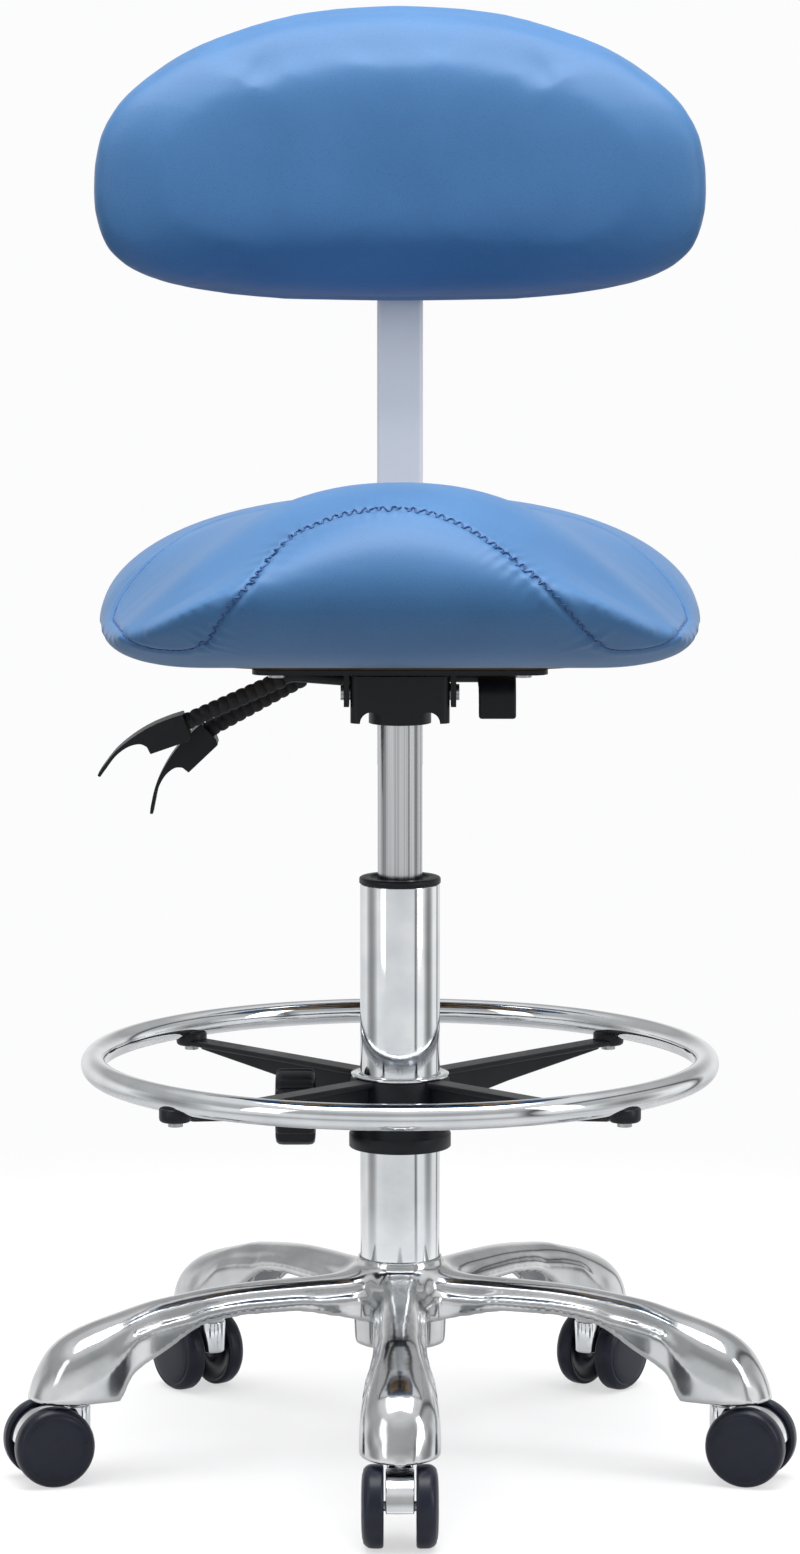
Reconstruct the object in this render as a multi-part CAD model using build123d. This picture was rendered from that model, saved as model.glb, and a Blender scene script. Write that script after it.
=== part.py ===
from build123d import *
from math import cos, hypot, radians, sin
import os

# Dental saddle stool with a backrest, a sliding foot ring and a five-star caster base.
# Frame: +Z up, the floor at Z 0, the column on the Z axis, the sitter faces -Y.  Millimetres.
# Each function makes the solids of one sub-part.  The list at the end names and writes them.

# Clearances
RUN = 0.05                   # radial gap of a pin or shaft that turns or slides in its hole
SIDE = 0.7                   # side gap between a turning piece and its neighbour

# Casters
WHEEL_R = 25.0
WHEEL_W = 13.5
WHEEL_DISH = 4.0             # depth of the recess in a wheel's inner face
HOOD_W = 17.0
HOOD_R = 22.5
HOOD_GAP = 1.2               # between the hood and a wheel's inner face
AXLE_R = 3.0
TRAIL = 18.0                 # wheel axle behind the swivel axis
STEM_R = 5.5
HOOD_WALL = 2.5
AXLE_HUB_WALL = 3.5
COLLAR_GAP = 0.3             # between the stem's collar and the leg
COLLAR_H = 0.9
STEM_LENGTH = 22.0
BARREL_R = 8.5

# Five-star base
LEG_COUNT = 5
BASE_R = 211.0               # circle of the caster stems
LEG_CLEAR = 2.0              # leg tip above the wheels
LEG_NECK = 16.5              # half width of a leg at its narrowest
LEG_TIP = 24.5               # half width of a leg over its caster
LEG_WALL = 4.5
LEG_CROWN = 119.0            # height of the legs at the hub
TIP_REACH = 30.0             # how far a leg runs past its stem
TIP_BACK = 25.0              # how far the tip's skirt runs inward of its stem
SOCKET_R = 9.5
HUB_BOTTOM = 72.5
HUB_TOP = 129.0
HUB_RIM = 1.8                # wall of the hub at its top edge
HUB_WALL = 3.5               # wall of the hub at its foot
NECK_REACH = 61.0            # how far inward of the stem a leg starts to drop
HUB_HIGH = 99.0              # underside of the legs near the hub

# Gas lift
TUBE_R = 25.0
TUBE_TOP = 365.0
TUBE_TAPER = 1.4             # how much the foot of the tube narrows
TUBE_WALL = 3.0
TUBE_FLOOR = 3.0
BUSH_FLANGE = 4.0
BUSH_LENGTH = 75.0
LIFT_R = 14.0
LIFT_WALL = 2.0
LIFT_FOOT = 215.0            # lower end of the pressure tube
LIFT_TOP = 482.0
LIFT_TOP_R = 13.4            # pressure tube at the top of its taper
LIFT_CAP = 16.0              # solid valve block at the top
GLAND = 10.0
ROD_R = 5.0
ROD_TOP = 335.0
ROD_SPIGOT = 4.0
PISTON_H = 12.0
BEARING_R = 12.0
BEARING_H = 5.0
CLIP_R = 8.0
CLIP_T = 1.5
BUTTON_R = 4.0
BUTTON_STAND = 3.8           # button above the pressure tube

# Foot ring
RING_R = 192.0
RING_TUBE_R = 8.0
RING_WALL = 1.5
RING_Z = 252.0
RING_HUB_TOP = 243.0
RING_HUB_BOTTOM = 198.0
RING_HUB_WALL = 6.0          # from the column to the outside of the ring hub
RING_BAND = 1.0
RING_BAND_H = 9.0
COLLET_WALL = 2.0
COLLET_FLANGE = 2.0
COLLET_SLOT = 3.0
SPOKE_COUNT = 4
SPOKE_W = 15.0
SPOKE_T = 4.0
SPOKE_WEB = 6.0
SPOKE_DEEP = 26.0            # web depth at the hub
SPOKE_SHALLOW = 6.0          # web depth at the ring
SPOKE_PAD = 20.0
SADDLE = 3.5                 # how far a spoke's pad rises round the ring
RING_SCREW_R = 2.5
RING_SCREW_HEAD_R = 4.5
RING_SCREW_HEAD = 3.0
RING_SCREW_POINT = 4.0       # screw past the inside of the ring's wall
KNOB_Z = 223.0
KNOB_R = 24.0
KNOB_T = 25.5
KNOB_GAP = 10.0              # between the hub's boss and the knob
KNOB_GRIP = 8.0              # how far a screw goes into its knob
KNOB_LOBES = 8
CLAMP_R = 4.0
CLAMP_BOSS_R = 9.0
CLAMP_BOSS = 12.0
KNOB_ROUND = 2.5

# Mechanism
BOX_HALF = 30.5
BOX_FRONT = -60.0
BOX_REAR = 75.0
BOX_TOP = 501.0
BOX_BOTTOM = 472.0
BOX_WALL = 3.0
BOX_CORNER = 6.0
BOX_ARCH_R = 7.0             # arched notches in the lower edge of the box's front
BOX_ARCH_X = 17.5
SOCKET_BOTTOM = 466.0
SOCKET_WALL = 5.5
SEAT_AXLE_Y = -45.0
SEAT_AXLE_Z = 490.0
SEAT_AXLE_R = 5.0
ARM_AXLE_Y = 62.0
ARM_AXLE_Z = 480.0
ARM_AXLE_R = 4.0
PLATE_BOTTOM = 505.0
PLATE_T = 3.0
PLATE_HALF = 90.0
PLATE_NOTCH = 42.0           # half length of the gap that the levers pass through
PLATE_WEB = 34.5
PLATE_CORNER = 10.0
BOLT_X = 75.0
BOLT_Y = 66.0
BOLT_R = 3.0
BOLT_HEAD_R = 5.5
BOLT_HEAD = 3.5

# Levers
LEVER_PIVOT_X = -24.0
LEVER_PIVOT_Z = 490.0
LEVER_ROD_R = 4.0
LEVER_BEND_R = 18.0
LEVER_PIN_R = 2.0
LEVER_EAR_T = 2.5
LEVER_EAR_HALF = 4.0
HEIGHT_LEVER_Y = 0.0
TILT_LEVER_Y = 28.0
SLEEVE_R = 5.5
SLEEVE_RIB = 4.4             # sleeve radius between its ribs
SLEEVE_START = 5.0           # from the rod's knee to the sleeve
RIB_PITCH = 6.2
PADDLE_W = 25.0
HEIGHT_ROD = ((4.0, 490.0), (-68.0, 495.5), (-134.0, 466.0))
TILT_ROD = ((-8.0, 490.0), (-56.0, 493.5), (-121.0, 458.0))
HEIGHT_PADDLE_TURN = 19.0    # degrees that the paddle points below level
TILT_PADDLE_TURN = 43.5
BACK_LEVER_Y = 10.0
BACK_LEVER_Z = 494.0
GRIP_INNER_X = 48.5
GRIP_OUTER_X = 71.5

# Seat
SEAT_HALF = 188.0
SEAT_FRONT = -185.0
SEAT_REAR = 175.0
SEAT_CREST = 621.0
SEAT_SKIRT = 530.0           # height of the widest line of the seat
SEAT_ROLL = 20.0             # how far the lower edge curls inward
SEAT_LIP = 15.0              # how far the front edge rises above the underside
SEAT_GAP = 1.0               # between the cover and the steel plate
# Cross-sections of the seat: share of the way from the middle to an end (front negative), share of the
# half width, share of the height above the skirt, and the two powers that shape the dome.
SEAT_SECTIONS = (
    (-1.0, 0.42, 0.16, 2.0, 0.8), (-0.94, 0.6, 0.54, 1.9, 0.9), (-0.82, 0.78, 0.87, 1.9, 1.05),
    (-0.62, 0.92, 0.985, 2.1, 1.0), (-0.46, 0.95, 1.0, 2.3, 0.92), (-0.25, 0.98, 0.94, 2.25, 0.74),
    (0.0, 1.0, 0.84, 2.2, 0.56), (0.4, 0.995, 0.78, 2.2, 0.5), (0.7, 0.94, 0.77, 2.2, 0.5),
    (0.88, 0.79, 0.67, 2.3, 0.5), (1.0, 0.5, 0.3, 2.4, 0.5))
PAN_T = 12.0
PAN_FRONT = -85.0
PAN_REAR = 125.0
PAN_INSET = 60.0             # from the seat's side to the pan's side
PAN_CORNER = 60.0
COVER_T = 1.5
NUT_R = 4.0
NUT_FLANGE_R = 9.0
NUT_FLANGE = 1.5

# Backrest
BAR_W = 30.0
BAR_T = 10.0
BAR_Y = 200.0
BAR_BOTTOM = 415.0
BAR_TOP = 845.0
HOLDER_WALL = 5.0
HOLDER_BOTTOM = 445.0
HOLDER_TOP = 500.0
HOLDER_GAP = 0.15            # between the bar and its holder
HOLDER_CORNER = 4.0
HOLDER_BOSS = 8.0            # from the holder to the knob
BAR_CORNER = 3.0
ARM_RIB = 12.0
ARM_W = 32.0
ARM_T = 6.0
ARM_EYE_R = 8.0
BACK_HALF = 195.0
BACK_BOTTOM = 720.0
BACK_TOP = 911.0
BACK_WIDE_Z = 797.0
BACK_MID_RISE = 8.0          # middle of the fixing plate above the pad's widest line
BACK_CURVE = 470.0           # radius of the pad's front face, seen from above
BACK_T = 58.0
BOARD_T = 9.0
BOARD_INSET = 22.0
SHELL_INSET = 12.0
SHELL_T = 2.5
BACK_PLATE_T = 3.0
BACK_PLATE_X = 45.0
BACK_PLATE_Z = 35.0
BACK_PLATE_CORNER = 8.0
BOLT_PLAY = 0.2              # radial gap of a bolt in a plate
BACK_BOLT_X = 32.0
BACK_BOLT_Z = 22.0
BACK_KNOB_R = 21.0
BACK_KNOB_T = 22.0
BACK_KNOB_Z = 478.0

# Worked out from the sizes above
HUB_R = TUBE_R + HUB_WALL
TUBE_FOOT_R = TUBE_R - TUBE_TAPER
TUBE_BORE = TUBE_R - TUBE_WALL
RING_HUB_R = TUBE_R + RING_HUB_WALL
RING_BAND_R = RING_HUB_R + RING_BAND
STEM_BASE = 2 * WHEEL_R + LEG_CLEAR
LEG_ANGLES = [-90 + 360 / LEG_COUNT * i for i in range(LEG_COUNT)]
TUBE_FOOT = HUB_BOTTOM - 0.5
BEARING_Z = TUBE_FOOT + TUBE_FLOOR
BUSH_TOP = TUBE_TOP + BUSH_FLANGE
SPOKE_ANGLES = [45 + 360 / SPOKE_COUNT * i for i in range(SPOKE_COUNT)]
RING_HUB_BORE = TUBE_R + RUN + COLLET_WALL + RUN
PLATE_TOP = PLATE_BOTTOM + PLATE_T
SEAT_BOTTOM = PLATE_TOP
PAN_HALF_X = SEAT_HALF - PAN_INSET
PAD_BACK_Y = BAR_Y - BAR_T / 2 - BACK_PLATE_T - BOARD_T
BACK_MID_Z = BACK_WIDE_Z + BACK_MID_RISE


def cylinder(radius, bottom, top, x=0.0, y=0.0):
    """An upright cylinder between two heights."""
    return Pos(x, y, (bottom + top) / 2) * Cylinder(radius, top - bottom)


def rod_x(radius, start, end, y, z):
    """A cylinder along X."""
    return Pos((start + end) / 2, y, z) * Rot(0, 90, 0) * Cylinder(radius, end - start)


def rod_y(radius, start, end, x, z):
    """A cylinder along Y."""
    return Pos(x, (start + end) / 2, z) * Rot(90, 0, 0) * Cylinder(radius, end - start)


def block(x0, x1, y0, y1, z0, z1):
    """A box between two corners."""
    return Pos((x0 + x1) / 2, (y0 + y1) / 2, (z0 + z1) / 2) * Box(x1 - x0, y1 - y0, z1 - z0)


def turned(points):
    """A solid of revolution about Z from (radius, height) points."""
    face = make_face(Polyline(*[(r, 0, z) for r, z in points], close=True))
    return revolve(face, Axis.Z)


def slab_xz(outline, y0, y1):
    """Extrudes a closed wire in the XZ plane from y0 to y1."""
    return extrude(Pos(0, y0, 0) * make_face(outline), amount=y1 - y0, dir=(0, 1, 0))


def around(shape, angle):
    """Turns a shape about the column."""
    return Rot(0, 0, angle) * shape


# ---------------------------------------------------------------- five-star base


def leg_side(drop=0.0, start=12.0):
    """A leg's outline seen from the side, as points of radius and height; drop lowers its top."""
    tip = BASE_R + TIP_REACH - drop
    top = [(start, LEG_CROWN - drop), (BASE_R - NECK_REACH, LEG_CROWN - 8 - drop),
           (BASE_R - 10, STEM_BASE + 46 - drop), (tip - 12, STEM_BASE + 30 - drop)]
    return Spline(*[(r, 0, z) for r, z in top], (tip, 0, STEM_BASE), tangents=[(1, 0, 0), (0.15, 0, -1)])


def leg_body(inset=0.0):
    """One leg along +X: its side outline and its plan outline, crossed."""
    tip = BASE_R + TIP_REACH - inset
    back = BASE_R - TIP_BACK
    crown = leg_side(inset)
    foot = [(tip, 0, STEM_BASE), (back, 0, STEM_BASE), (back - 4, 0, STEM_BASE + 17)]
    belly = Spline(foot[-1], (0.64 * BASE_R, 0, HUB_HIGH - 6), (0.43 * BASE_R, 0, HUB_HIGH),
                   (12, 0, HUB_HIGH - 7))
    close = Line(belly @ 1, crown @ 0)
    side = make_face([crown, Line(foot[0], foot[1]), Line(foot[1], foot[2]), belly, close])
    neck = LEG_NECK - inset
    half = LEG_TIP - inset
    edge = [(12, neck + 3), (0.36 * BASE_R, neck), (0.66 * BASE_R, neck), (back - 6, half - 4),
            (BASE_R - 4, half)]
    one = Spline(*[(x, y, 0) for x, y in edge])
    two = Spline(*[(x, -y, 0) for x, y in edge])
    nose = ThreePointArc(one @ 1, (tip, 0, 0), two @ 1)
    plan = make_face([one, nose, two, Line(one @ 0, two @ 0)])
    return (extrude(side, amount=LEG_TIP + 5, both=True)
            & extrude(plan, amount=LEG_CROWN + 20, dir=(0, 0, 1)))


def leg():
    """A hollow leg with a socket for its caster."""
    outer = leg_body()
    hollow = leg_body(LEG_WALL) - cylinder(HUB_R + 12, 0, HUB_TOP)
    below = extrude(Pos(0, 0, 0) * Rectangle(400, 400), amount=STEM_BASE)
    trough = block(HUB_R + 14, BASE_R - TIP_BACK - 8, -LEG_NECK + LEG_WALL, LEG_NECK - LEG_WALL,
                   HUB_BOTTOM, LEG_CROWN - 15)
    socket = cylinder(SOCKET_R, STEM_BASE, STEM_BASE + STEM_LENGTH + 8, BASE_R) & outer
    shell = outer - hollow - (trough & outer & Pos(0, 0, -LEG_WALL) * outer)
    return (shell + socket - cylinder(STEM_R + RUN, STEM_BASE - 1, STEM_BASE + STEM_LENGTH + 1, BASE_R)
            - below)


def column_taper():
    """The space in the hub that the tapered foot of the column fills."""
    return turned([(0, HUB_BOTTOM - 1), (TUBE_FOOT_R, HUB_BOTTOM - 1), (TUBE_R, HUB_TOP),
                   (TUBE_R, HUB_TOP + 5), (0, HUB_TOP + 5)])


def base_casting():
    hub = turned([(0, HUB_BOTTOM), (HUB_R, HUB_BOTTOM), (HUB_R, 100), (HUB_R + 4, LEG_CROWN - 10),
                  (TUBE_R + HUB_RIM + 2, LEG_CROWN + 2), (TUBE_R + HUB_RIM, HUB_TOP), (0, HUB_TOP)])
    one = leg()
    star = hub
    for angle in LEG_ANGLES:
        star = star + around(one, angle)
    return star - column_taper()


# ---------------------------------------------------------------- casters


def caster(angle):
    """The solids of one caster, trailing outward from its stem, by node name."""
    half = HOOD_W / 2
    inner = half + HOOD_GAP
    hood = rod_y(HOOD_R, -half, half, TRAIL, WHEEL_R) & block(
        -5, TRAIL + HOOD_R, -half, half, WHEEL_R - 2, 2 * WHEEL_R)
    inside = half - HOOD_WALL
    hub = rod_y(AXLE_R + AXLE_HUB_WALL, -half, half, TRAIL, WHEEL_R)
    cavity = (rod_y(HOOD_R - HOOD_WALL, -inside, inside, TRAIL, WHEEL_R)
              & block(BARREL_R - 2, TRAIL + HOOD_R, -half, half, 0, 2 * WHEEL_R)) - hub
    collar_foot = STEM_BASE - COLLAR_GAP - COLLAR_H
    barrel = cylinder(BARREL_R, WHEEL_R + 2, collar_foot)
    stem = cylinder(STEM_R, WHEEL_R + 10, STEM_BASE + STEM_LENGTH)
    collar = cylinder(BARREL_R, collar_foot, collar_foot + COLLAR_H)
    axle = rod_y(AXLE_R, -inner - WHEEL_W + 3.5, inner + WHEEL_W - 3.5, TRAIL, WHEEL_R)
    fork = hood - cavity + barrel + hub - stem - axle
    place = Rot(0, 0, angle) * Pos(BASE_R, 0, 0)
    return {"fork": place * fork, "pins": place * Compound([stem + collar, axle]),
            "wheel_left": place * wheel(1), "wheel_right": place * wheel(-1)}


def wheel(side):
    """One wheel of a caster's pair, on the +Y or the -Y side of the hood."""
    face = HOOD_W / 2 + HOOD_GAP
    out = face + WHEEL_W
    bore = AXLE_R + RUN
    profile = [(0, out), (WHEEL_R - 8, out), (WHEEL_R - 3, out - 1.5), (WHEEL_R, out - 5.5),
               (WHEEL_R, face + 0.8), (WHEEL_R - 0.8, face), (WHEEL_R - 3.5, face),
               (WHEEL_R - 4.5, face + WHEEL_DISH), (AXLE_R + 4, face + WHEEL_DISH), (AXLE_R + 4, face + 0.2),
               (bore, face + 0.2), (bore, out - 3), (0, out - 3)]
    turn = Rot(-90, 0, 0) if side > 0 else Rot(90, 0, 0)
    return Pos(TRAIL, 0, WHEEL_R) * turn * turned(profile)


# ---------------------------------------------------------------- gas lift


def outer_tube():
    body = turned([(ROD_SPIGOT + RUN, TUBE_FOOT), (TUBE_FOOT_R - 0.2, TUBE_FOOT), (TUBE_FOOT_R, HUB_BOTTOM),
                   (TUBE_R, HUB_TOP), (TUBE_R, TUBE_TOP), (TUBE_BORE, TUBE_TOP), (TUBE_BORE, BEARING_Z),
                   (ROD_SPIGOT + RUN, BEARING_Z)])
    upper = cylinder(TUBE_R + 1, HUB_TOP, TUBE_TOP)
    return body & (column_taper() + upper + cylinder(TUBE_FOOT_R, 0, HUB_BOTTOM))


def guide_bush():
    return turned([(LIFT_R + RUN, TUBE_TOP - BUSH_LENGTH), (TUBE_BORE, TUBE_TOP - BUSH_LENGTH),
                   (TUBE_BORE, TUBE_TOP), (TUBE_R + 0.5, TUBE_TOP), (TUBE_R + 0.5, BUSH_TOP - 1),
                   (TUBE_R - 0.5, BUSH_TOP), (TUBE_R - 3, BUSH_TOP), (TUBE_R - 4, BUSH_TOP - 1.2),
                   (LIFT_R + RUN, BUSH_TOP - 1.2)])


def thrust_bearing():
    """Two washers with a caged ring between them."""
    third = BEARING_H / 3
    washers = [cylinder(BEARING_R, BEARING_Z + i * third, BEARING_Z + (i + 1) * third)
               - cylinder(ROD_SPIGOT + RUN, 0, HUB_TOP) for i in (0, 2)]
    cage = (cylinder(BEARING_R - 1, BEARING_Z + third, BEARING_Z + 2 * third)
            - cylinder(ROD_SPIGOT + 1.5, 0, HUB_TOP))
    return Compound(washers + [cage])


def piston_rod():
    """The rod, its piston and the clip under the column."""
    shoulder = BEARING_Z + BEARING_H + RUN
    rod = (cylinder(ROD_SPIGOT, TUBE_FOOT - 6, shoulder) + cylinder(ROD_R, shoulder, ROD_TOP)
           + cylinder(LIFT_R - LIFT_WALL - RUN, ROD_TOP, ROD_TOP + PISTON_H))
    clip = (cylinder(CLIP_R, TUBE_FOOT - 3, TUBE_FOOT - 3 + CLIP_T)
            - cylinder(ROD_SPIGOT, 0, HUB_TOP))
    return Compound([rod, clip])


def pressure_tube():
    inner = LIFT_R - LIFT_WALL
    return turned([(ROD_R + RUN, LIFT_FOOT), (LIFT_R, LIFT_FOOT), (LIFT_R, SOCKET_BOTTOM),
                   (LIFT_TOP_R, LIFT_TOP), (BUTTON_R + RUN, LIFT_TOP), (BUTTON_R + RUN, LIFT_TOP - LIFT_CAP),
                   (inner, LIFT_TOP - LIFT_CAP), (inner, LIFT_FOOT + GLAND),
                   (ROD_R + RUN, LIFT_FOOT + GLAND)])


def release_button():
    return cylinder(BUTTON_R, LIFT_TOP - LIFT_CAP + 2, LIFT_TOP + BUTTON_STAND)


# ---------------------------------------------------------------- foot ring


def ring_collet():
    """The split plastic bush that slides on the column."""
    bore = TUBE_R + RUN
    sleeve = turned([(bore, RING_HUB_BOTTOM + 2), (bore + COLLET_WALL, RING_HUB_BOTTOM + 2),
                     (bore + COLLET_WALL, RING_HUB_TOP + RUN), (RING_HUB_R, RING_HUB_TOP + RUN),
                     (RING_HUB_R, RING_HUB_TOP + COLLET_FLANGE), (bore, RING_HUB_TOP + COLLET_FLANGE)])
    return sleeve - block(-COLLET_SLOT / 2, COLLET_SLOT / 2, 0, 2 * TUBE_R, 0, TUBE_TOP)


def ring_knob_face():
    return -(RING_HUB_R + CLAMP_BOSS + KNOB_GAP)


def clamp_screw_space(gap=0.0):
    """The foot ring's clamp screw, from just short of the collet out into its knob."""
    return rod_x(CLAMP_R + gap, ring_knob_face() - KNOB_GRIP, -RING_HUB_BORE - 1, 0, KNOB_Z)


def ring_hub():
    body = turned([(RING_HUB_BORE, RING_HUB_BOTTOM), (RING_BAND_R, RING_HUB_BOTTOM),
                   (RING_BAND_R, RING_HUB_BOTTOM + RING_BAND_H),
                   (RING_HUB_R, RING_HUB_BOTTOM + RING_BAND_H + 1),
                   (RING_HUB_R, RING_HUB_TOP), (RING_HUB_BORE, RING_HUB_TOP)])
    boss = rod_x(CLAMP_BOSS_R, -RING_HUB_R - CLAMP_BOSS, -RING_HUB_R + 2, 0, KNOB_Z)
    return body + boss - cylinder(RING_HUB_BORE, 0, TUBE_TOP) - clamp_screw_space(RUN)


def ring_torus(tube):
    return Pos(0, 0, RING_Z) * Torus(RING_R, tube)


def ring_screw_space():
    """The four screw shanks that hold the ring on its spokes."""
    top = RING_Z - RING_TUBE_R + RING_WALL + RING_SCREW_POINT
    return [around(cylinder(RING_SCREW_R, RING_HUB_TOP - SPOKE_T, top, RING_R), a) for a in SPOKE_ANGLES]


def foot_ring():
    """The bent tube.  The spokes' screws cut their own holes in its wall."""
    return ring_torus(RING_TUBE_R) - ring_torus(RING_TUBE_R - RING_WALL)


def ring_spokes():
    """Four spokes: a flat top, a web that is deepest at the hub, and a saddle under the ring."""
    top = RING_HUB_TOP
    flat = block(RING_HUB_R - 5, RING_R, -SPOKE_W / 2, SPOKE_W / 2, top - SPOKE_T, top)
    end = RING_R - SPOKE_PAD / 2
    web_line = Polyline((RING_HUB_R - 5, 0, top - 1), (end, 0, top - 1), (end, 0, top - SPOKE_SHALLOW),
                        (RING_HUB_R - 5, 0, top - SPOKE_DEEP), close=True)
    web = slab_xz(web_line, -SPOKE_WEB / 2, SPOKE_WEB / 2)
    pad = cylinder(SPOKE_PAD / 2, top - SPOKE_T, RING_Z - RING_TUBE_R + SADDLE, RING_R)
    one = (flat + web + pad - cylinder(RING_HUB_R, 0, TUBE_TOP) - ring_torus(RING_TUBE_R)
           - cylinder(RING_SCREW_R, 0, TUBE_TOP, RING_R))
    return Compound([around(one, a) for a in SPOKE_ANGLES])


def ring_screws():
    heads = []
    for angle, shank in zip(SPOKE_ANGLES, ring_screw_space()):
        under = RING_HUB_TOP - SPOKE_T
        head = cylinder(RING_SCREW_HEAD_R, under - RING_SCREW_HEAD, under, RING_R)
        heads.append(shank + around(head, angle))
    return Compound(heads)


def lobed(radius, thickness, lobes):
    """A star knob along Z from 0 to its thickness, with finger hollows round its rim."""
    body = Cylinder(radius, thickness, align=(Align.CENTER, Align.CENTER, Align.MIN))
    body = fillet(body.edges(), KNOB_ROUND)
    for i in range(lobes):
        body = body - around(cylinder(radius * 0.22, -1, thickness + 1, radius * 1.09), 360 / lobes * i)
    return body


def ring_knob():
    knob = Pos(ring_knob_face(), 0, KNOB_Z) * Rot(0, -90, 0) * lobed(KNOB_R, KNOB_T, KNOB_LOBES)
    return knob - clamp_screw_space()


# ---------------------------------------------------------------- mechanism


def socket_taper():
    return turned([(0, SOCKET_BOTTOM - 1), (LIFT_R, SOCKET_BOTTOM - 1), (LIFT_R, SOCKET_BOTTOM),
                   (LIFT_TOP_R, LIFT_TOP), (0, LIFT_TOP)])


def mech_housing():
    """The pressed channel over the column, with its tapered socket, lever ears and side slots."""
    shell = block(-BOX_HALF, BOX_HALF, BOX_FRONT, BOX_REAR, BOX_BOTTOM, BOX_TOP)
    shell = fillet(shell.edges().filter_by(Axis.Z).group_by(Axis.Y)[0], BOX_CORNER)
    inside = block(-BOX_HALF + BOX_WALL, BOX_HALF - BOX_WALL, BOX_FRONT + BOX_WALL, BOX_REAR + 1,
                   BOX_BOTTOM - 1, BOX_TOP - BOX_WALL)
    shell = shell - inside
    for x in (-1, 1):
        shell = shell - rod_y(BOX_ARCH_R, BOX_FRONT - 1, BOX_FRONT + BOX_WALL + 5, x * BOX_ARCH_X, BOX_BOTTOM)
        shell = shell - block(-BOX_HALF - 1, BOX_HALF + 1, -25, BOX_REAR - 35, BOX_BOTTOM - 1, BOX_BOTTOM + 5)
    socket = cylinder(LIFT_R + SOCKET_WALL, SOCKET_BOTTOM, LIFT_TOP)
    ledge = block(-BOX_HALF + 1, BOX_HALF - 1, -7, 7, BOX_BOTTOM + 5, LIFT_TOP - 2)
    body = shell + socket + ledge - socket_taper()
    for y in (HEIGHT_LEVER_Y, TILT_LEVER_Y):
        gap = LEVER_ROD_R + 1.5
        body = body - block(-BOX_HALF - 1, LEVER_PIVOT_X + 12, y - gap, y + gap,
                            LEVER_PIVOT_Z - 8, BOX_TOP + 1)
        for side in (-1, 1):
            near = y + side * (LEVER_ROD_R + SIDE)
            far = near + side * LEVER_EAR_T
            ear = block(LEVER_PIVOT_X - LEVER_EAR_HALF, LEVER_PIVOT_X + LEVER_EAR_HALF, min(near, far),
                        max(near, far), LEVER_PIVOT_Z - LEVER_EAR_HALF, BOX_TOP - 1)
            body = body + ear
        body = body - rod_y(LEVER_PIN_R, y - 9, y + 9, LEVER_PIVOT_X, LEVER_PIVOT_Z)
    body = body - rod_x(SEAT_AXLE_R, -BOX_HALF - 1, BOX_HALF + 1, SEAT_AXLE_Y, SEAT_AXLE_Z)
    body = body - rod_x(ARM_AXLE_R, -BOX_HALF - 1, BOX_HALF + 1, ARM_AXLE_Y, ARM_AXLE_Z)
    body = body - rod_x(LEVER_ROD_R + RUN, 0, BOX_HALF + 1, BACK_LEVER_Y, BACK_LEVER_Z)
    return body - block(20, BOX_HALF - BOX_WALL, BACK_LEVER_Y - 7, BACK_LEVER_Y + 7, LIFT_TOP, BOX_TOP + 1)


def mech_pins():
    """The seat axle, the back arm axle and the two lever pins."""
    reach = PLATE_WEB + 2
    seat_axle = rod_x(SEAT_AXLE_R, -reach, reach, SEAT_AXLE_Y, SEAT_AXLE_Z)
    arm_axle = rod_x(ARM_AXLE_R, -BOX_HALF - 2, BOX_HALF + 2, ARM_AXLE_Y, ARM_AXLE_Z)
    half = LEVER_ROD_R + SIDE + LEVER_EAR_T
    levers = [rod_y(LEVER_PIN_R, y - half, y + half, LEVER_PIVOT_X, LEVER_PIVOT_Z)
              for y in (HEIGHT_LEVER_Y, TILT_LEVER_Y)]
    return Compound([seat_axle, arm_axle] + levers)


def bolt_places():
    return [(x, y) for x in (-BOLT_X, BOLT_X) for y in (-BOLT_Y, BOLT_Y)]


def seat_plate():
    """The H-shaped steel plate under the seat, with two ears that hang on the seat axle."""
    plate = block(-PLATE_WEB, PLATE_WEB, -PLATE_HALF, PLATE_HALF, PLATE_BOTTOM, PLATE_TOP)
    for side in (-1, 1):
        y0, y1 = sorted((side * PLATE_NOTCH, side * PLATE_HALF))
        flange = block(-PLATE_HALF, PLATE_HALF, y0, y1, PLATE_BOTTOM, PLATE_TOP)
        plate = plate + fillet(flange.edges().filter_by(Axis.Z), PLATE_CORNER)
    for side in (-1, 1):
        x0, x1 = sorted((side * (BOX_HALF + SIDE), side * PLATE_WEB))
        ear = block(x0, x1, SEAT_AXLE_Y - 12, SEAT_AXLE_Y + 10, SEAT_AXLE_Z - 8, PLATE_BOTTOM + 1)
        plate = plate + ear
    plate = plate - rod_x(SEAT_AXLE_R + RUN, -PLATE_HALF, PLATE_HALF, SEAT_AXLE_Y, SEAT_AXLE_Z)
    for x, y in bolt_places():
        plate = plate - cylinder(BOLT_R + BOLT_PLAY, PLATE_BOTTOM - 1, PLATE_TOP + 1, x, y)
    return plate


# ---------------------------------------------------------------- levers


def lever_path(points, y):
    """A lever rod's line: two straight runs joined by a bend."""
    return FilletPolyline(*[(x, y, z) for x, z in points], radius=LEVER_BEND_R)


def lever_rod(points, y):
    path = lever_path(points, y)
    start = Plane(origin=path @ 0, z_dir=path % 0)
    rod = sweep(start * Circle(LEVER_ROD_R), path=path)
    return rod - rod_y(LEVER_PIN_R + RUN, y - 9, y + 9, LEVER_PIVOT_X, LEVER_PIVOT_Z)


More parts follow.
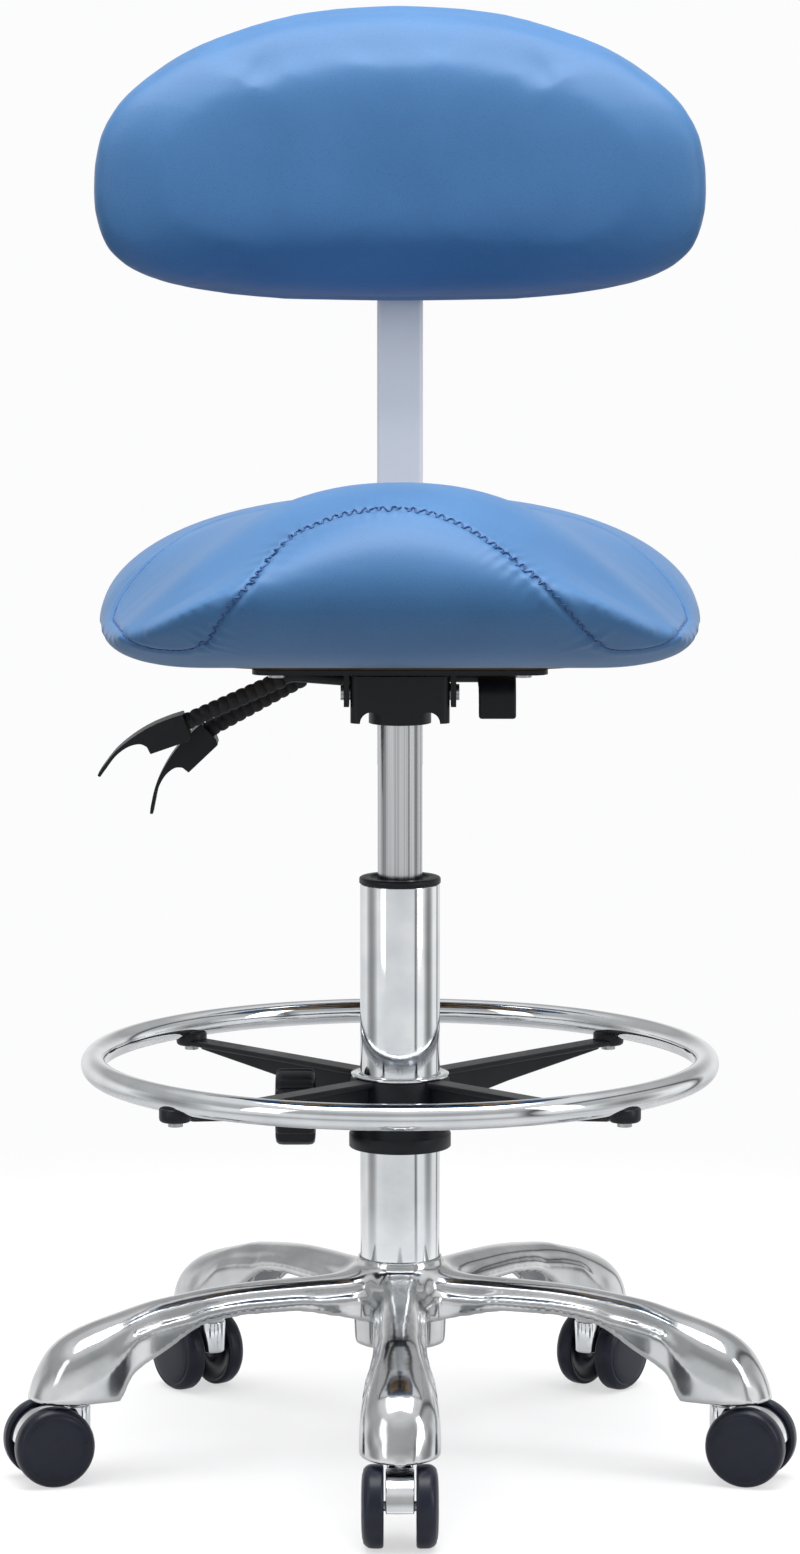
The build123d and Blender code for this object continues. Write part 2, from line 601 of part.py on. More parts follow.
def lever_frame(points, y, inset=0.0):
    """A plane at the start of the rod's outer run, looking along it."""
    (x0, z0), (x1, z1) = points[1], points[2]
    run = hypot(x1 - x0, z1 - z0)
    ux, uz = (x1 - x0) / run, (z1 - z0) / run
    origin = (x0 + ux * inset, y, z0 + uz * inset)
    return Plane(origin=origin, x_dir=(0, 1, 0), z_dir=(ux, 0, uz)), run


def lever_sleeve(points, y):
    """The ribbed rubber sleeve over the rod's outer run."""
    frame, run = lever_frame(points, y, inset=SLEEVE_START)
    length = run - SLEEVE_START
    count = int(length // RIB_PITCH)
    pitch = length / count
    profile = [(LEVER_ROD_R, 0)]
    for i in range(count):
        profile += [(SLEEVE_R, i * pitch), (SLEEVE_R, (i + 0.55) * pitch), (SLEEVE_RIB, (i + 0.65) * pitch),
                    (SLEEVE_RIB, (i + 0.9) * pitch)]
    profile += [(SLEEVE_RIB, length), (LEVER_ROD_R, length)]
    return frame.location * turned(profile)


def lever_paddle(points, y, turn):
    """The moulded handle: a socket block and a blade that curls down to its tip."""
    x0, z0 = points[2]
    a = radians(turn)

    def at(u, v):
        return (x0 - u * cos(a) - v * sin(a), y, z0 - u * sin(a) + v * cos(a))

    top = Spline(at(-1, 6.2), at(8, 6.4), at(20, 5.6), at(32.4, 3.0), at(45.7, -1.9), at(56.7, -8.8),
                 at(62, -13))
    tip = Line(top @ 1, at(60.6, -14.4))
    under = Spline(tip @ 1, at(55.0, -10.4), at(46.6, -4.8), at(37.8, -2.0), at(30.4, -2.6), at(26.6, -5.8))
    heel = Polyline(under @ 1, at(26, -10.7), at(0.6, -10.7), at(-1, -7.4), top @ 0)
    body = slab_xz([top, tip, under, heel], -PADDLE_W / 2, PADDLE_W / 2)
    rod = sweep(Plane(origin=lever_path(points, y) @ 0, z_dir=lever_path(points, y) % 0)
                * Circle(LEVER_ROD_R), path=lever_path(points, y))
    frame, run = lever_frame(points, y)
    sleeve_space = frame.location * Cylinder(SLEEVE_R, run, align=(Align.CENTER, Align.CENTER, Align.MIN))
    return body - rod - sleeve_space


def back_lever_rod():
    return rod_x(LEVER_ROD_R, 22, GRIP_INNER_X + 14, BACK_LEVER_Y, BACK_LEVER_Z)


def back_lever_grip():
    """The short grip of the backrest lever: a hub on the rod and a paddle that hooks down in front."""
    y = BACK_LEVER_Y
    z = BACK_LEVER_Z
    line = Polyline((0, y + 8, z + 6), (0, y - 42, z + 6), (0, y - 54, z - 6), (0, y - 54, z - 21),
                    (0, y - 46, z - 21), (0, y - 44, z - 10), (0, y - 34, z - 5), (0, y + 8, z - 6),
                    close=True)
    width = GRIP_OUTER_X - GRIP_INNER_X
    body = extrude(Pos(GRIP_INNER_X, 0, 0) * make_face(line), amount=width, dir=(1, 0, 0))
    body = fillet(body.faces().sort_by(Axis.X)[-1].edges(), 2.0)
    return body - back_lever_rod()


# ---------------------------------------------------------------- seat


def mirrored_pair(points, start, end, place):
    """A smooth line through points on the +X side, and the same line on the -X side."""
    def line(side):
        ways = [Vector(*place(side * u, v)) - Vector(*place(0, 0)) for u, v in (start, end)]
        return Spline(*[place(side * x, v) for x, v in points], tangents=ways)

    return line(1), line(-1)


def seat_section(share, wide, high, power, root, inset):
    """One cross-section of the seat, a dome over a rolled lower edge."""
    y = share * (SEAT_REAR if share > 0 else -SEAT_FRONT)
    y = y - inset if share > 0 else y + inset if share < -0.99 else y
    half = wide * SEAT_HALF - inset
    rise = high * (SEAT_CREST - SEAT_SKIRT) - inset
    forward = max(0.0, (PAN_FRONT - y) / (PAN_FRONT - SEAT_FRONT))
    low = SEAT_BOTTOM + SEAT_GAP + SEAT_LIP * forward + inset

    def upright(x, z):
        return (x, y, z)

    crown = [(u * half, SEAT_SKIRT + rise * (1 - u ** power) ** root) for u in (0, 0.3, 0.6, 0.85, 0.96)]
    crown.append((half, SEAT_SKIRT))
    right, left = mirrored_pair(crown, (1, 0), (0, -1), upright)
    roll = min(SEAT_ROLL, 0.4 * half)
    under_right = Spline(right @ 1, (half - 0.3 * roll, y, (SEAT_SKIRT + 2 * low) / 3), (half - roll, y, low))
    under_left = Spline(left @ 1, (0.3 * roll - half, y, (SEAT_SKIRT + 2 * low) / 3), (roll - half, y, low))
    under = Line(under_right @ 1, under_left @ 1)
    return make_face([right, under_right, under, under_left, left])


def seat_volume(inset=0.0):
    """The seat's outer shape, or the same shape drawn in all round by inset."""
    return loft([seat_section(*row, inset) for row in SEAT_SECTIONS])


def pan_plan():
    plan = Pos(0, (PAN_FRONT + PAN_REAR) / 2, SEAT_BOTTOM) * RectangleRounded(
        2 * PAN_HALF_X, PAN_REAR - PAN_FRONT, PAN_CORNER)
    return extrude(plan, amount=PAN_T)


def nut_barrels():
    return [cylinder(NUT_R, SEAT_BOTTOM + 2, SEAT_BOTTOM + PAN_T, x, y) for x, y in bolt_places()]


def nut_flanges():
    top = SEAT_BOTTOM + PAN_T
    return [cylinder(NUT_FLANGE_R, top, top + NUT_FLANGE, x, y) for x, y in bolt_places()]


def bolt_shanks():
    return [cylinder(BOLT_R, PLATE_BOTTOM, SEAT_BOTTOM + PAN_T - 1, x, y) for x, y in bolt_places()]


def seat_pan():
    pan = pan_plan()
    for barrel, shank in zip(nut_barrels(), bolt_shanks()):
        pan = pan - barrel - shank
    return pan


def seat_nuts():
    nuts = []
    for barrel, flange, shank in zip(nut_barrels(), nut_flanges(), bolt_shanks()):
        nuts.append(barrel + flange - shank)
    return Compound(nuts)


def seat_bolts():
    bolts = []
    for shank, (x, y) in zip(bolt_shanks(), bolt_places()):
        bolts.append(shank + cylinder(BOLT_HEAD_R, PLATE_BOTTOM - BOLT_HEAD, PLATE_BOTTOM, x, y))
    return Compound(bolts)


def seat_foam():
    foam = seat_volume(COVER_T) - pan_plan()
    for flange in nut_flanges():
        foam = foam - flange
    return foam


def seat_cover():
    return seat_volume() - seat_volume(COVER_T) - pan_plan()


# ---------------------------------------------------------------- backrest


def holder_block(grow=0.0):
    """The space inside the holder, or its outside when grown by the wall."""
    x = BAR_W / 2 + HOLDER_GAP + grow
    y = BAR_T / 2 + HOLDER_GAP + grow
    return block(-x, x, BAR_Y - y, BAR_Y + y, HOLDER_BOTTOM, HOLDER_TOP)


def back_knob_face():
    return BAR_Y + BAR_T / 2 + HOLDER_GAP + HOLDER_WALL + HOLDER_BOSS


def back_screw_space(gap=0.0):
    return rod_y(CLAMP_R + gap, BAR_Y + BAR_T / 2 + HOLDER_GAP, back_knob_face() + KNOB_GRIP, 0, BACK_KNOB_Z)


def back_arm():
    """The steel arm from the rear axle to the holder that grips the backrest bar."""
    eye = rod_x(ARM_EYE_R, -BOX_HALF + BOX_WALL + SIDE, BOX_HALF - BOX_WALL - SIDE, ARM_AXLE_Y, ARM_AXLE_Z)
    rear = BAR_Y - BAR_T / 2 - HOLDER_GAP
    plate = block(-ARM_W / 2, ARM_W / 2, ARM_AXLE_Y, rear, ARM_AXLE_Z - ARM_T / 2, ARM_AXLE_Z + ARM_T / 2)
    rib = block(-ARM_T / 2, ARM_T / 2, ARM_AXLE_Y + 20, rear, ARM_AXLE_Z - ARM_T / 2 - ARM_RIB, ARM_AXLE_Z)
    holder = holder_block(HOLDER_WALL)
    holder = fillet(holder.edges().filter_by(Axis.Z), HOLDER_CORNER)
    body = eye + plate + rib + holder - holder_block()
    return body - rod_x(ARM_AXLE_R + RUN, -BOX_HALF, BOX_HALF, ARM_AXLE_Y, ARM_AXLE_Z) - back_screw_space(RUN)


def back_knob():
    face = back_knob_face()
    body = Pos(0, face, BACK_KNOB_Z) * Rot(-90, 0, 0) * lobed(BACK_KNOB_R, BACK_KNOB_T, KNOB_LOBES)
    return body - back_screw_space()


def back_bar():
    bar = block(-BAR_W / 2, BAR_W / 2, BAR_Y - BAR_T / 2, BAR_Y + BAR_T / 2, BAR_BOTTOM, BAR_TOP)
    return fillet(bar.edges().filter_by(Axis.Z), BAR_CORNER)


def back_bolt_places():
    return [(x, BACK_MID_Z + z) for x in (-BACK_BOLT_X, BACK_BOLT_X) for z in (-BACK_BOLT_Z, BACK_BOLT_Z)]


def back_plate():
    """The plate welded to the bar, which the back board is bolted to."""
    y1 = BAR_Y - BAR_T / 2
    plate = block(-BACK_PLATE_X, BACK_PLATE_X, y1 - BACK_PLATE_T, y1,
                  BACK_MID_Z - BACK_PLATE_Z, BACK_MID_Z + BACK_PLATE_Z)
    plate = fillet(plate.edges().filter_by(Axis.Y), BACK_PLATE_CORNER)
    for x, z in back_bolt_places():
        plate = plate - rod_y(BOLT_R + BOLT_PLAY, y1 - BACK_PLATE_T - 1, y1 + 1, x, z)
    return plate


def back_bolts():
    y1 = BAR_Y - BAR_T / 2
    return Compound([rod_y(BOLT_R, PAD_BACK_Y + 1, y1, x, z) + rod_y(BOLT_HEAD_R, y1, y1 + BOLT_HEAD, x, z)
                     for x, z in back_bolt_places()])


def back_outline(inset=0.0):
    """The backrest's outline from the front: a wide dome over rounded lower corners."""
    half = BACK_HALF - inset
    top = BACK_TOP - inset
    low = BACK_BOTTOM + inset

    def upright(x, z):
        return (x, 0, z)

    edge = [(0, top), (0.355 * half, top - 6), (0.675 * half, top - 29), (0.89 * half, top - 60),
            (half, BACK_WIDE_Z), (0.955 * half, low + 40), (0.84 * half, low + 17), (0.42 * half, low + 2.5),
            (0, low)]
    right, left = mirrored_pair(edge, (1, 0), (-1, 0), upright)
    return slab_xz([right, left], 0, BAR_Y)


def back_band(front, rear):
    """An upright curved band between two depths behind the pad's front face."""
    centre = PAD_BACK_Y - BACK_T - BACK_CURVE
    outer = cylinder(BACK_CURVE + rear, BACK_BOTTOM - 5, BACK_TOP + 5, 0, centre)
    inner = cylinder(BACK_CURVE + front, BACK_BOTTOM - 6, BACK_TOP + 6, 0, centre)
    return outer - inner


def back_boss():
    """The flat block on the board that the plate is bolted to."""
    return block(-BACK_PLATE_X, BACK_PLATE_X, PAD_BACK_Y - BOARD_T / 2, PAD_BACK_Y + BOARD_T,
                 BACK_MID_Z - BACK_PLATE_Z, BACK_MID_Z + BACK_PLATE_Z)


def back_board_space():
    """The curved plywood board with its boss."""
    return (back_outline(BOARD_INSET) & back_band(BACK_T - BOARD_T, BACK_T)) + back_boss()


def back_shell():
    """The thin plastic shell that hides the board and the edge of the cover."""
    shell = back_outline(SHELL_INSET) & back_band(BACK_T, BACK_T + SHELL_T)
    return shell - back_boss()


def back_board():
    board = back_board_space()
    for x, z in back_bolt_places():
        board = board - rod_y(BOLT_R, PAD_BACK_Y + 1, PAD_BACK_Y + BOARD_T + 1, x, z)
    return board


def back_volume(inset=0.0):
    """The pad's outer shape, or the same shape drawn in all round by inset."""
    return back_outline(inset) & back_band(inset, BACK_T - inset)


def back_foam():
    return back_volume(COVER_T) - back_board_space()


def back_cover():
    return back_volume() - back_volume(COVER_T) - back_board_space()


# ---------------------------------------------------------------- list of sub-parts


def main():
    clamp = clamp_screw_space()
    parts = {
        "base_casting": base_casting(),
        "column_tube": outer_tube(),
        "column_bush": guide_bush(),
        "thrust_bearing": thrust_bearing(),
        "piston_rod": piston_rod(),
        "pressure_tube": pressure_tube(),
        "release_button": release_button(),
        "ring_collet": ring_collet(),
        "ring_hub": ring_hub(),
        "foot_ring": foot_ring(),
        "ring_spokes": ring_spokes(),
        "ring_screws": ring_screws(),
        "ring_knob": ring_knob(),
        "ring_knob_screw": clamp,
        "mech_housing": mech_housing(),
        "mech_pins": mech_pins(),
        "seat_plate": seat_plate(),
        "height_lever_rod": lever_rod(HEIGHT_ROD, HEIGHT_LEVER_Y),
        "height_lever_sleeve": lever_sleeve(HEIGHT_ROD, HEIGHT_LEVER_Y),
        "height_lever_paddle": lever_paddle(HEIGHT_ROD, HEIGHT_LEVER_Y, HEIGHT_PADDLE_TURN),
        "tilt_lever_rod": lever_rod(TILT_ROD, TILT_LEVER_Y),
        "tilt_lever_sleeve": lever_sleeve(TILT_ROD, TILT_LEVER_Y),
        "tilt_lever_paddle": lever_paddle(TILT_ROD, TILT_LEVER_Y, TILT_PADDLE_TURN),
        "back_lever_rod": back_lever_rod(),
        "back_lever_grip": back_lever_grip(),
        "seat_pan": seat_pan(),
        "seat_nuts": seat_nuts(),
        "seat_bolts": seat_bolts(),
        "seat_foam": seat_foam(),
        "seat_cover": seat_cover(),
        "back_arm": back_arm(),
        "back_knob": back_knob(),
        "back_knob_screw": back_screw_space(),
        "back_bar": back_bar(),
        "back_plate": back_plate(),
        "back_bolts": back_bolts(),
        "back_board": back_board(),
        "back_shell": back_shell(),
        "back_foam": back_foam(),
        "back_cover": back_cover(),
    }
    for number, angle in enumerate(LEG_ANGLES, 1):
        for name, shape in caster(angle).items():
            parts[f"caster_{number}_{name}"] = shape
    os.makedirs("parts", exist_ok=True)
    for name, shape in parts.items():
        export_step(shape, f"parts/{name}.step")


main()
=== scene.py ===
"""How the dental saddle stool looks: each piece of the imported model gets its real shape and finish.

The pieces come in the order in which the stool is put together, from the floor up.  Metres.
"""
import math

import bmesh
import bpy
import numpy as np
from mathutils import Matrix, Vector
from mathutils.bvhtree import BVHTree
from mathutils.kdtree import KDTree


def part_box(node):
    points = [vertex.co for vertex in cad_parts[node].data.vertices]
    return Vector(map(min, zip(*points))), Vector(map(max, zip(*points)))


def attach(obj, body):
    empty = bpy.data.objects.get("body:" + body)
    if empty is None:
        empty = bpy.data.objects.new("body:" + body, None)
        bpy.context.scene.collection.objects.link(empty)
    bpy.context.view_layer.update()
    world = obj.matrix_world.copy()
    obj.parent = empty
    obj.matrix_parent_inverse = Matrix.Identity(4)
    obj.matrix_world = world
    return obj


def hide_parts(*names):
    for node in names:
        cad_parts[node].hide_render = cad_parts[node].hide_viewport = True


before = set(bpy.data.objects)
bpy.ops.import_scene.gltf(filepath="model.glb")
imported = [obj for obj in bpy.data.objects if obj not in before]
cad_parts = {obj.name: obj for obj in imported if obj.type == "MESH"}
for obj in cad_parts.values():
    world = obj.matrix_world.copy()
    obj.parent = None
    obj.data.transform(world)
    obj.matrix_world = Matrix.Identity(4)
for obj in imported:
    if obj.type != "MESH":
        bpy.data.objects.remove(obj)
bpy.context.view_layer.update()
MM = 0.001

# ------------------------------------------------------------------ five-star base
# One aluminium gravity casting: five hollow legs run from a conical hub to boots over the caster stems.
# A crowned spine stands on each leg's flat-sided flange.  It is ground, then polished on cloth wheels.

LEGS = 5
BOOT_R = 211 * MM                   # circle of the caster stems
LEG_START, BOOT_START, BOOT_ROUND, LEG_END = 24, 178, 213, 242  # radii of the leg's stretches, in millimetres
BOOT_BLEND = 24                     # the spine's section turns into the boot's over this length
BOOT_NOSE = 29.2                    # length of the boot's rounded nose, seen from above
SPINE_STEP = 11.0                   # height of the spine over the flange
LEG_WALL, LEG_ROOF = 4.0, 5.0       # thickness of the flange and of the spine
SPINE_TOP = [(24, 125), (30, 121.5), (38, 119.3), (49, 118.3), (100, 116.8), (157, 110), (181, 103.6),
             (204, 97), (218, 90.6), (227.5, 83), (233, 75.4), (237, 67.8), (240, 60), (242, 52)]
LEG_UNDER = [(24, 91), (49, 95.4), (75, 99.6), (100, 99.6), (128, 96.7), (161, 79), (178, 69.5), (184, 62),
             (188, 52.2), (242, 51.8)]
LEG_HALF = [(24, 29), (30, 26), (38, 21.5), (49, 18), (62, 16.6), (130, 16.4), (165, 18.5), (186, 22.5),
            (205, 24.4), (213, 24.5)]
WHEEL_LINES = 0.35 * MM             # lines left by the polishing wheel, drawn coarser than real ones


def through(points, x):
    """The height at x of a smooth line through the points, which never overshoots them."""
    px, py = np.array(points, float).T
    slope = np.diff(py) / np.diff(px)
    inner = np.where(slope[:-1] * slope[1:] > 0,
                     2 * slope[:-1] * slope[1:] / (slope[:-1] + slope[1:] + 1e-12), 0)
    tangent = np.concatenate([[slope[0]], inner, [slope[-1]]])
    x = np.clip(x, px[0], px[-1])
    i = np.clip(np.searchsorted(px, x) - 1, 0, len(px) - 2)
    h = px[i + 1] - px[i]
    t = (x - px[i]) / h
    return (py[i] * (1 + 2 * t) * (1 - t) ** 2 + tangent[i] * h * t * (1 - t) ** 2
            + py[i + 1] * t * t * (3 - 2 * t) + tangent[i + 1] * h * t * t * (t - 1))


def linear(hex_colour):
    """An sRGB hex colour as linear RGBA."""
    values = [int(hex_colour[i:i + 2], 16) / 255 for i in (1, 3, 5)]
    return [v / 12.92 if v <= 0.04045 else ((v + 0.055) / 1.055) ** 2.4 for v in values] + [1.0]


def add(material, kind, settings=None, stops=(), **inputs):
    """Adds a node: settings are its properties, inputs are values or (node, output) links by socket name.

    A colour ramp also takes stops, as (position, colour or grey)."""
    tree = material.node_tree
    made = tree.nodes.new(kind)
    for name, value in (settings or {}).items():
        setattr(made, name, value)
    for name, value in inputs.items():
        socket = made.inputs[int(name[1:])] if name[1:].isdigit() else made.inputs[name.replace("_", " ")]
        if isinstance(value, tuple) and isinstance(value[0], bpy.types.Node):
            tree.links.new(value[0].outputs[value[1]], socket)
        else:
            socket.default_value = value
    for i, (position, value) in enumerate(stops):
        elements = made.color_ramp.elements
        element = elements[i] if i < len(elements) else elements.new(position)
        element.position = position
        element.color = linear(value) if isinstance(value, str) else (value, value, value, 1)
    return made


def material_named(name):
    """A new material, with the node that gives its patterns their place on the object."""
    material = bpy.data.materials.new(name)
    material.use_nodes = True
    material.node_tree.nodes.clear()
    return material, add(material, "ShaderNodeTexCoord")


def surfaced(material, **inputs):
    """Closes a material with its surface, and returns it."""
    surface = add(material, "ShaderNodeBsdfPrincipled", **inputs)
    add(material, "ShaderNodeOutputMaterial", Surface=(surface, 0))
    return material


def mesh_piece(name, points, faces, smooth=True):
    """A new mesh object from points in metres and faces."""
    data = bpy.data.meshes.new(name)
    data.from_pydata([tuple(p) for p in points], [], faces)
    data.update()
    fixed = bmesh.new()
    fixed.from_mesh(data)
    bmesh.ops.recalc_face_normals(fixed, faces=fixed.faces)
    fixed.to_mesh(data)
    fixed.free()
    data.shade_smooth() if smooth else data.shade_flat()
    piece = bpy.data.objects.new(name, data)
    bpy.context.scene.collection.objects.link(piece)
    return piece


def modify(piece, kind, **settings):
    """Adds a modifier and applies it to the piece's mesh."""
    modifier = piece.modifiers.new(kind, kind)
    for name, value in settings.items():
        setattr(modifier, name, value)
    graph = bpy.context.evaluated_depsgraph_get()
    done = bpy.data.meshes.new_from_object(piece.evaluated_get(graph))
    piece.modifiers.clear()
    old, piece.data = piece.data, done
    bpy.data.meshes.remove(old)
    return piece


def joined(name, pieces):
    """Makes one object of several."""
    both = bmesh.new()
    for piece in pieces:
        piece.data.transform(piece.matrix_world)
        both.from_mesh(piece.data)
    first = pieces[0]
    for piece in pieces[1:]:
        bpy.data.objects.remove(piece)
    both.to_mesh(first.data)
    both.free()
    first.matrix_world = Matrix.Identity(4)
    first.name = first.data.name = name
    return first


def loft(name, rings, closed=True):
    """A skin over rings of points, each ring closed, capped at both ends."""
    count = len(rings[0])
    points = [p for ring in rings for p in ring]
    faces = []
    for i in range(len(rings) - 1):
        for j in range(count):
            k = (j + 1) % count
            faces.append((i * count + j, i * count + k, (i + 1) * count + k, (i + 1) * count + j))
    if closed:
        faces.append(tuple(range(count - 1, -1, -1)))
        faces.append(tuple((len(rings) - 1) * count + j for j in range(count)))
    return mesh_piece(name, points, faces)


def lathe(name, profile, segments=96, smooth=True):
    """Turns (radius, height) points, in order, about Z.  A point on the axis closes the skin."""
    points, rings = [], []
    for r, z in profile:
        if r < 1e-7:
            rings.append([len(points)])
            points.append((0, 0, z))
        else:
            start = len(points)
            rings.append(list(range(start, start + segments)))
            for k in range(segments):
                a = 2 * math.pi * k / segments
                points.append((r * math.cos(a), r * math.sin(a), z))
    faces = []
    for one, two in zip(rings, rings[1:]):
        for k in range(segments):
            n = (k + 1) % segments
            if len(one) == 1 and len(two) > 1:
                faces.append((one[0], two[k], two[n]))
            elif len(two) == 1 and len(one) > 1:
                faces.append((one[k], two[0], one[n]))
            elif len(one) > 1:
                faces.append((one[k], two[k], two[n], one[n]))
    return mesh_piece(name, points, faces, smooth)


def place(piece, body, slot, material, *nodes):
    """Gives a piece its material, lets it ride on its body and stand for its CAD nodes.  The slot is not
    used.
    """
    piece.data.materials.clear()
    piece.data.materials.append(material)
    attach(piece, body)
    if nodes:
        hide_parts(*nodes)
    return piece


def leg_section(r):
    """One hollow section of a leg at radius r, in millimetres: flange and spine outside, channel inside."""
    top, under = through(SPINE_TOP, r), through(LEG_UNDER, r)
    half = through(LEG_HALF, min(r, BOOT_ROUND))
    if r > BOOT_ROUND:
        half *= math.sqrt(max(0.0, 1 - ((r - BOOT_ROUND) / BOOT_NOSE) ** 2))
    tall = top - under
    step = min(SPINE_STEP, 0.52 * tall)
    boot = min(1.0, max(0.0, (r - BOOT_START) / BOOT_BLEND))
    crown = [(0, 0), (0.3, 0.05), (0.52, 0.18), (0.66, 0.38), (0.745, 0.66), (0.79, 0.93), (0.86, 1.0),
             (0.95, 1.08)]
    dome = [(0, 0), (0.3, 0.1), (0.54, 0.34), (0.72, 0.68), (0.84, 1.05), (0.92, 1.5), (0.965, 2.0),
            (0.99, 2.6)]
    side = []
    for (cy, cz), (dy, dz) in zip(crown, dome):
        side.append((half * (cy + (dy - cy) * boot), top - min(0.92 * tall, step * (cz + (dz - cz) * boot))))
    side += [(half, top - min(0.95 * tall, step * (1.25 + 1.6 * boot))), (half, under + 0.6),
             (half - 0.6, under)]
    wall = min(LEG_WALL, 0.4 * half)
    roof = under + (tall - LEG_ROOF) * (1 - boot) if boot < 1 else under
    roof = max(under + 0.3, roof)
    inner = [(half - wall, under), (half - wall - 0.5, min(roof, top - step) - 0.1), (0.4 * half, roof),
             (0, roof)]
    right = side + inner
    left = [(-y, z) for y, z in reversed(right[1:-1])]
    return right + left


def casting_leg(angle):
    """One leg, turned about the hub; its sections lie closer together at the boot's nose."""
    turn = Matrix.Rotation(angle, 4, "Z")
    stations = list(np.arange(LEG_START, 236, 3.0)) + [236.5, 238.5, 240, 241.2, LEG_END]
    rings = [[turn @ Vector((r * MM, y * MM, z * MM)) for y, z in leg_section(r)] for r in stations]
    return loft("leg", rings)


def hub_collar():
    """The conical hub with its bore, which the foot of the column sits in."""
    return lathe("hub", [(r * MM, z * MM) for r, z in (
        (25.1, 129), (26.4, 129), (26.9, 128.4), (27.2, 123), (28.5, 119), (30, 112), (29.6, 96),
        (28.6, 73.2), (28, 72.5), (23.7, 72.5), (23.7, 73), (25.1, 128.5), (25.1, 129))])


def polished_aluminium():
    """Aluminium, cast and polished: a bright grey metal with faint wheel lines and a soft cloudy haze."""
    material, where = material_named("polished cast aluminium")
    cloud = add(material, "ShaderNodeTexNoise", Vector=(where, "Object"), Scale=1 / (35 * MM), Detail=3.0)
    shade = add(material, "ShaderNodeValToRGB", stops=[(0.35, "#B9BCBE"), (0.7, "#D6D7D8")],
                Fac=(cloud, "Fac"))
    rough = add(material, "ShaderNodeMapRange", Value=(cloud, "Fac"), To_Min=0.09, To_Max=0.2)
    lines = add(material, "ShaderNodeTexNoise", Vector=(where, "Object"), Scale=1 / WHEEL_LINES, Detail=2.0)
    soft = add(material, "ShaderNodeTexNoise", Vector=(where, "Object"), Scale=1 / (14 * MM), Detail=1.0)
    height = add(material, "ShaderNodeMath", {"operation": "MULTIPLY_ADD"}, _0=(lines, "Fac"), _1=0.02,
                 _2=(soft, "Fac"))
    bump = add(material, "ShaderNodeBump", Height=(height, 0), Strength=0.35, Distance=0.25 * MM)
    return surfaced(material, Metallic=1.0, Base_Color=(shade, "Color"), Roughness=(rough, "Result"),
                    Normal=(bump, "Normal"))


casting = joined("star_base",
                 [casting_leg(math.radians(-90 + 360 / LEGS * i)) for i in range(LEGS)] + [hub_collar()])
modify(casting, "REMESH", mode="VOXEL", voxel_size=1.6 * MM, use_smooth_shade=True)
modify(casting, "SMOOTH", factor=0.5, iterations=7)
place(casting, "base", "cast_aluminium", polished_aluminium(), "base_casting")

# ------------------------------------------------------------------ casters
# Five twin-wheel casters trail outward from their stems.  The hood is a chromed zinc casting, and the
# wheels are moulded nylon pressed on a steel axle.  The stem snaps up into the boot of a leg.

TRAIL = 18 * MM                     # axle behind the stem
WHEEL_R = 25 * MM
HOOD_HALF = 8.5 * MM
WHEEL_PROFILE = [(0, 23.2), (8, 23.15), (15, 22.9), (19.2, 22.45), (19.9, 22.2), (20.3, 21.7), (20.8, 21.65),
                 (21.3, 21.95), (22.2, 21.6), (23.5, 20.4), (24.5, 18.7), (24.95, 16.9), (25, 15.2),
                 (25, 12.6), (24.9, 11.2), (24.4, 10.2), (23.6, 9.75), (22.4, 9.7), (21.6, 10), (21, 13.4),
                 (7.6, 13.7), (7.1, 10), (3.2, 9.9), (3.2, 20), (0, 20)]
NYLON_NAVY = "#191D2E"
DARK_GLOSS = 0.28                   # mirror strength of the dark plastics and paints, which look matt


def slab(name, outline, low, high, edge=0.8 * MM):
    """A flat outline of (x, z) points, made solid from Y low to Y high, with rounded edges."""
    count = len(outline)
    points = [(x, y, z) for y in (low, high) for x, z in outline]
    faces = [tuple(range(count)), tuple(range(2 * count - 1, count - 1, -1))]
    faces += [(i, (i + 1) % count, count + (i + 1) % count, count + i) for i in range(count)]
    return softened(mesh_piece(name, points, faces), edge)


def softened(piece, edge, segments=3):
    """Rounds the sharp edges and keeps the flats flat."""
    modify(piece, "BEVEL", width=edge, segments=segments, limit_method="ANGLE", angle_limit=math.radians(35),
           use_clamp_overlap=True)
    piece.data.shade_smooth()
    return modify(piece, "WEIGHTED_NORMAL", keep_sharp=True)


def arc(centre, radius, start, end, steps):
    """Points on an arc, from the start angle to the end angle in degrees."""
    angles = np.radians(np.linspace(start, end, steps))
    return [(centre[0] + radius * math.cos(a), centre[1] + radius * math.sin(a)) for a in angles]


def turned(piece, *turns):
    """Turns and moves a piece's mesh by a chain of matrices, the last one first."""
    matrix = Matrix.Identity(4)
    for turn in turns:
        matrix = matrix @ turn
    piece.data.transform(matrix)
    return piece


def bright_chrome():
    """Decorative chromium on nickel: a hard mirror with the faintest waviness and a slight blue cast."""
    material, where = material_named("bright chrome plate")
    haze = add(material, "ShaderNodeTexNoise", Vector=(where, "Object"), Scale=1 / (22 * MM), Detail=4.0)
    rough = add(material, "ShaderNodeMapRange", Value=(haze, "Fac"), To_Min=0.03, To_Max=0.1)
    tone = add(material, "ShaderNodeValToRGB", stops=[(0.3, "#D2D6DA"), (0.7, "#E2E4E6")], Fac=(haze, "Fac"))
    wave = add(material, "ShaderNodeTexNoise", Vector=(where, "Object"), Scale=1 / (40 * MM), Detail=0.0)
    bump = add(material, "ShaderNodeBump", Height=(wave, "Fac"), Strength=0.08, Distance=0.4 * MM)
    return surfaced(material, Metallic=1.0, Base_Color=(tone, "Color"), Roughness=(rough, "Result"),
                    Normal=(bump, "Normal"))


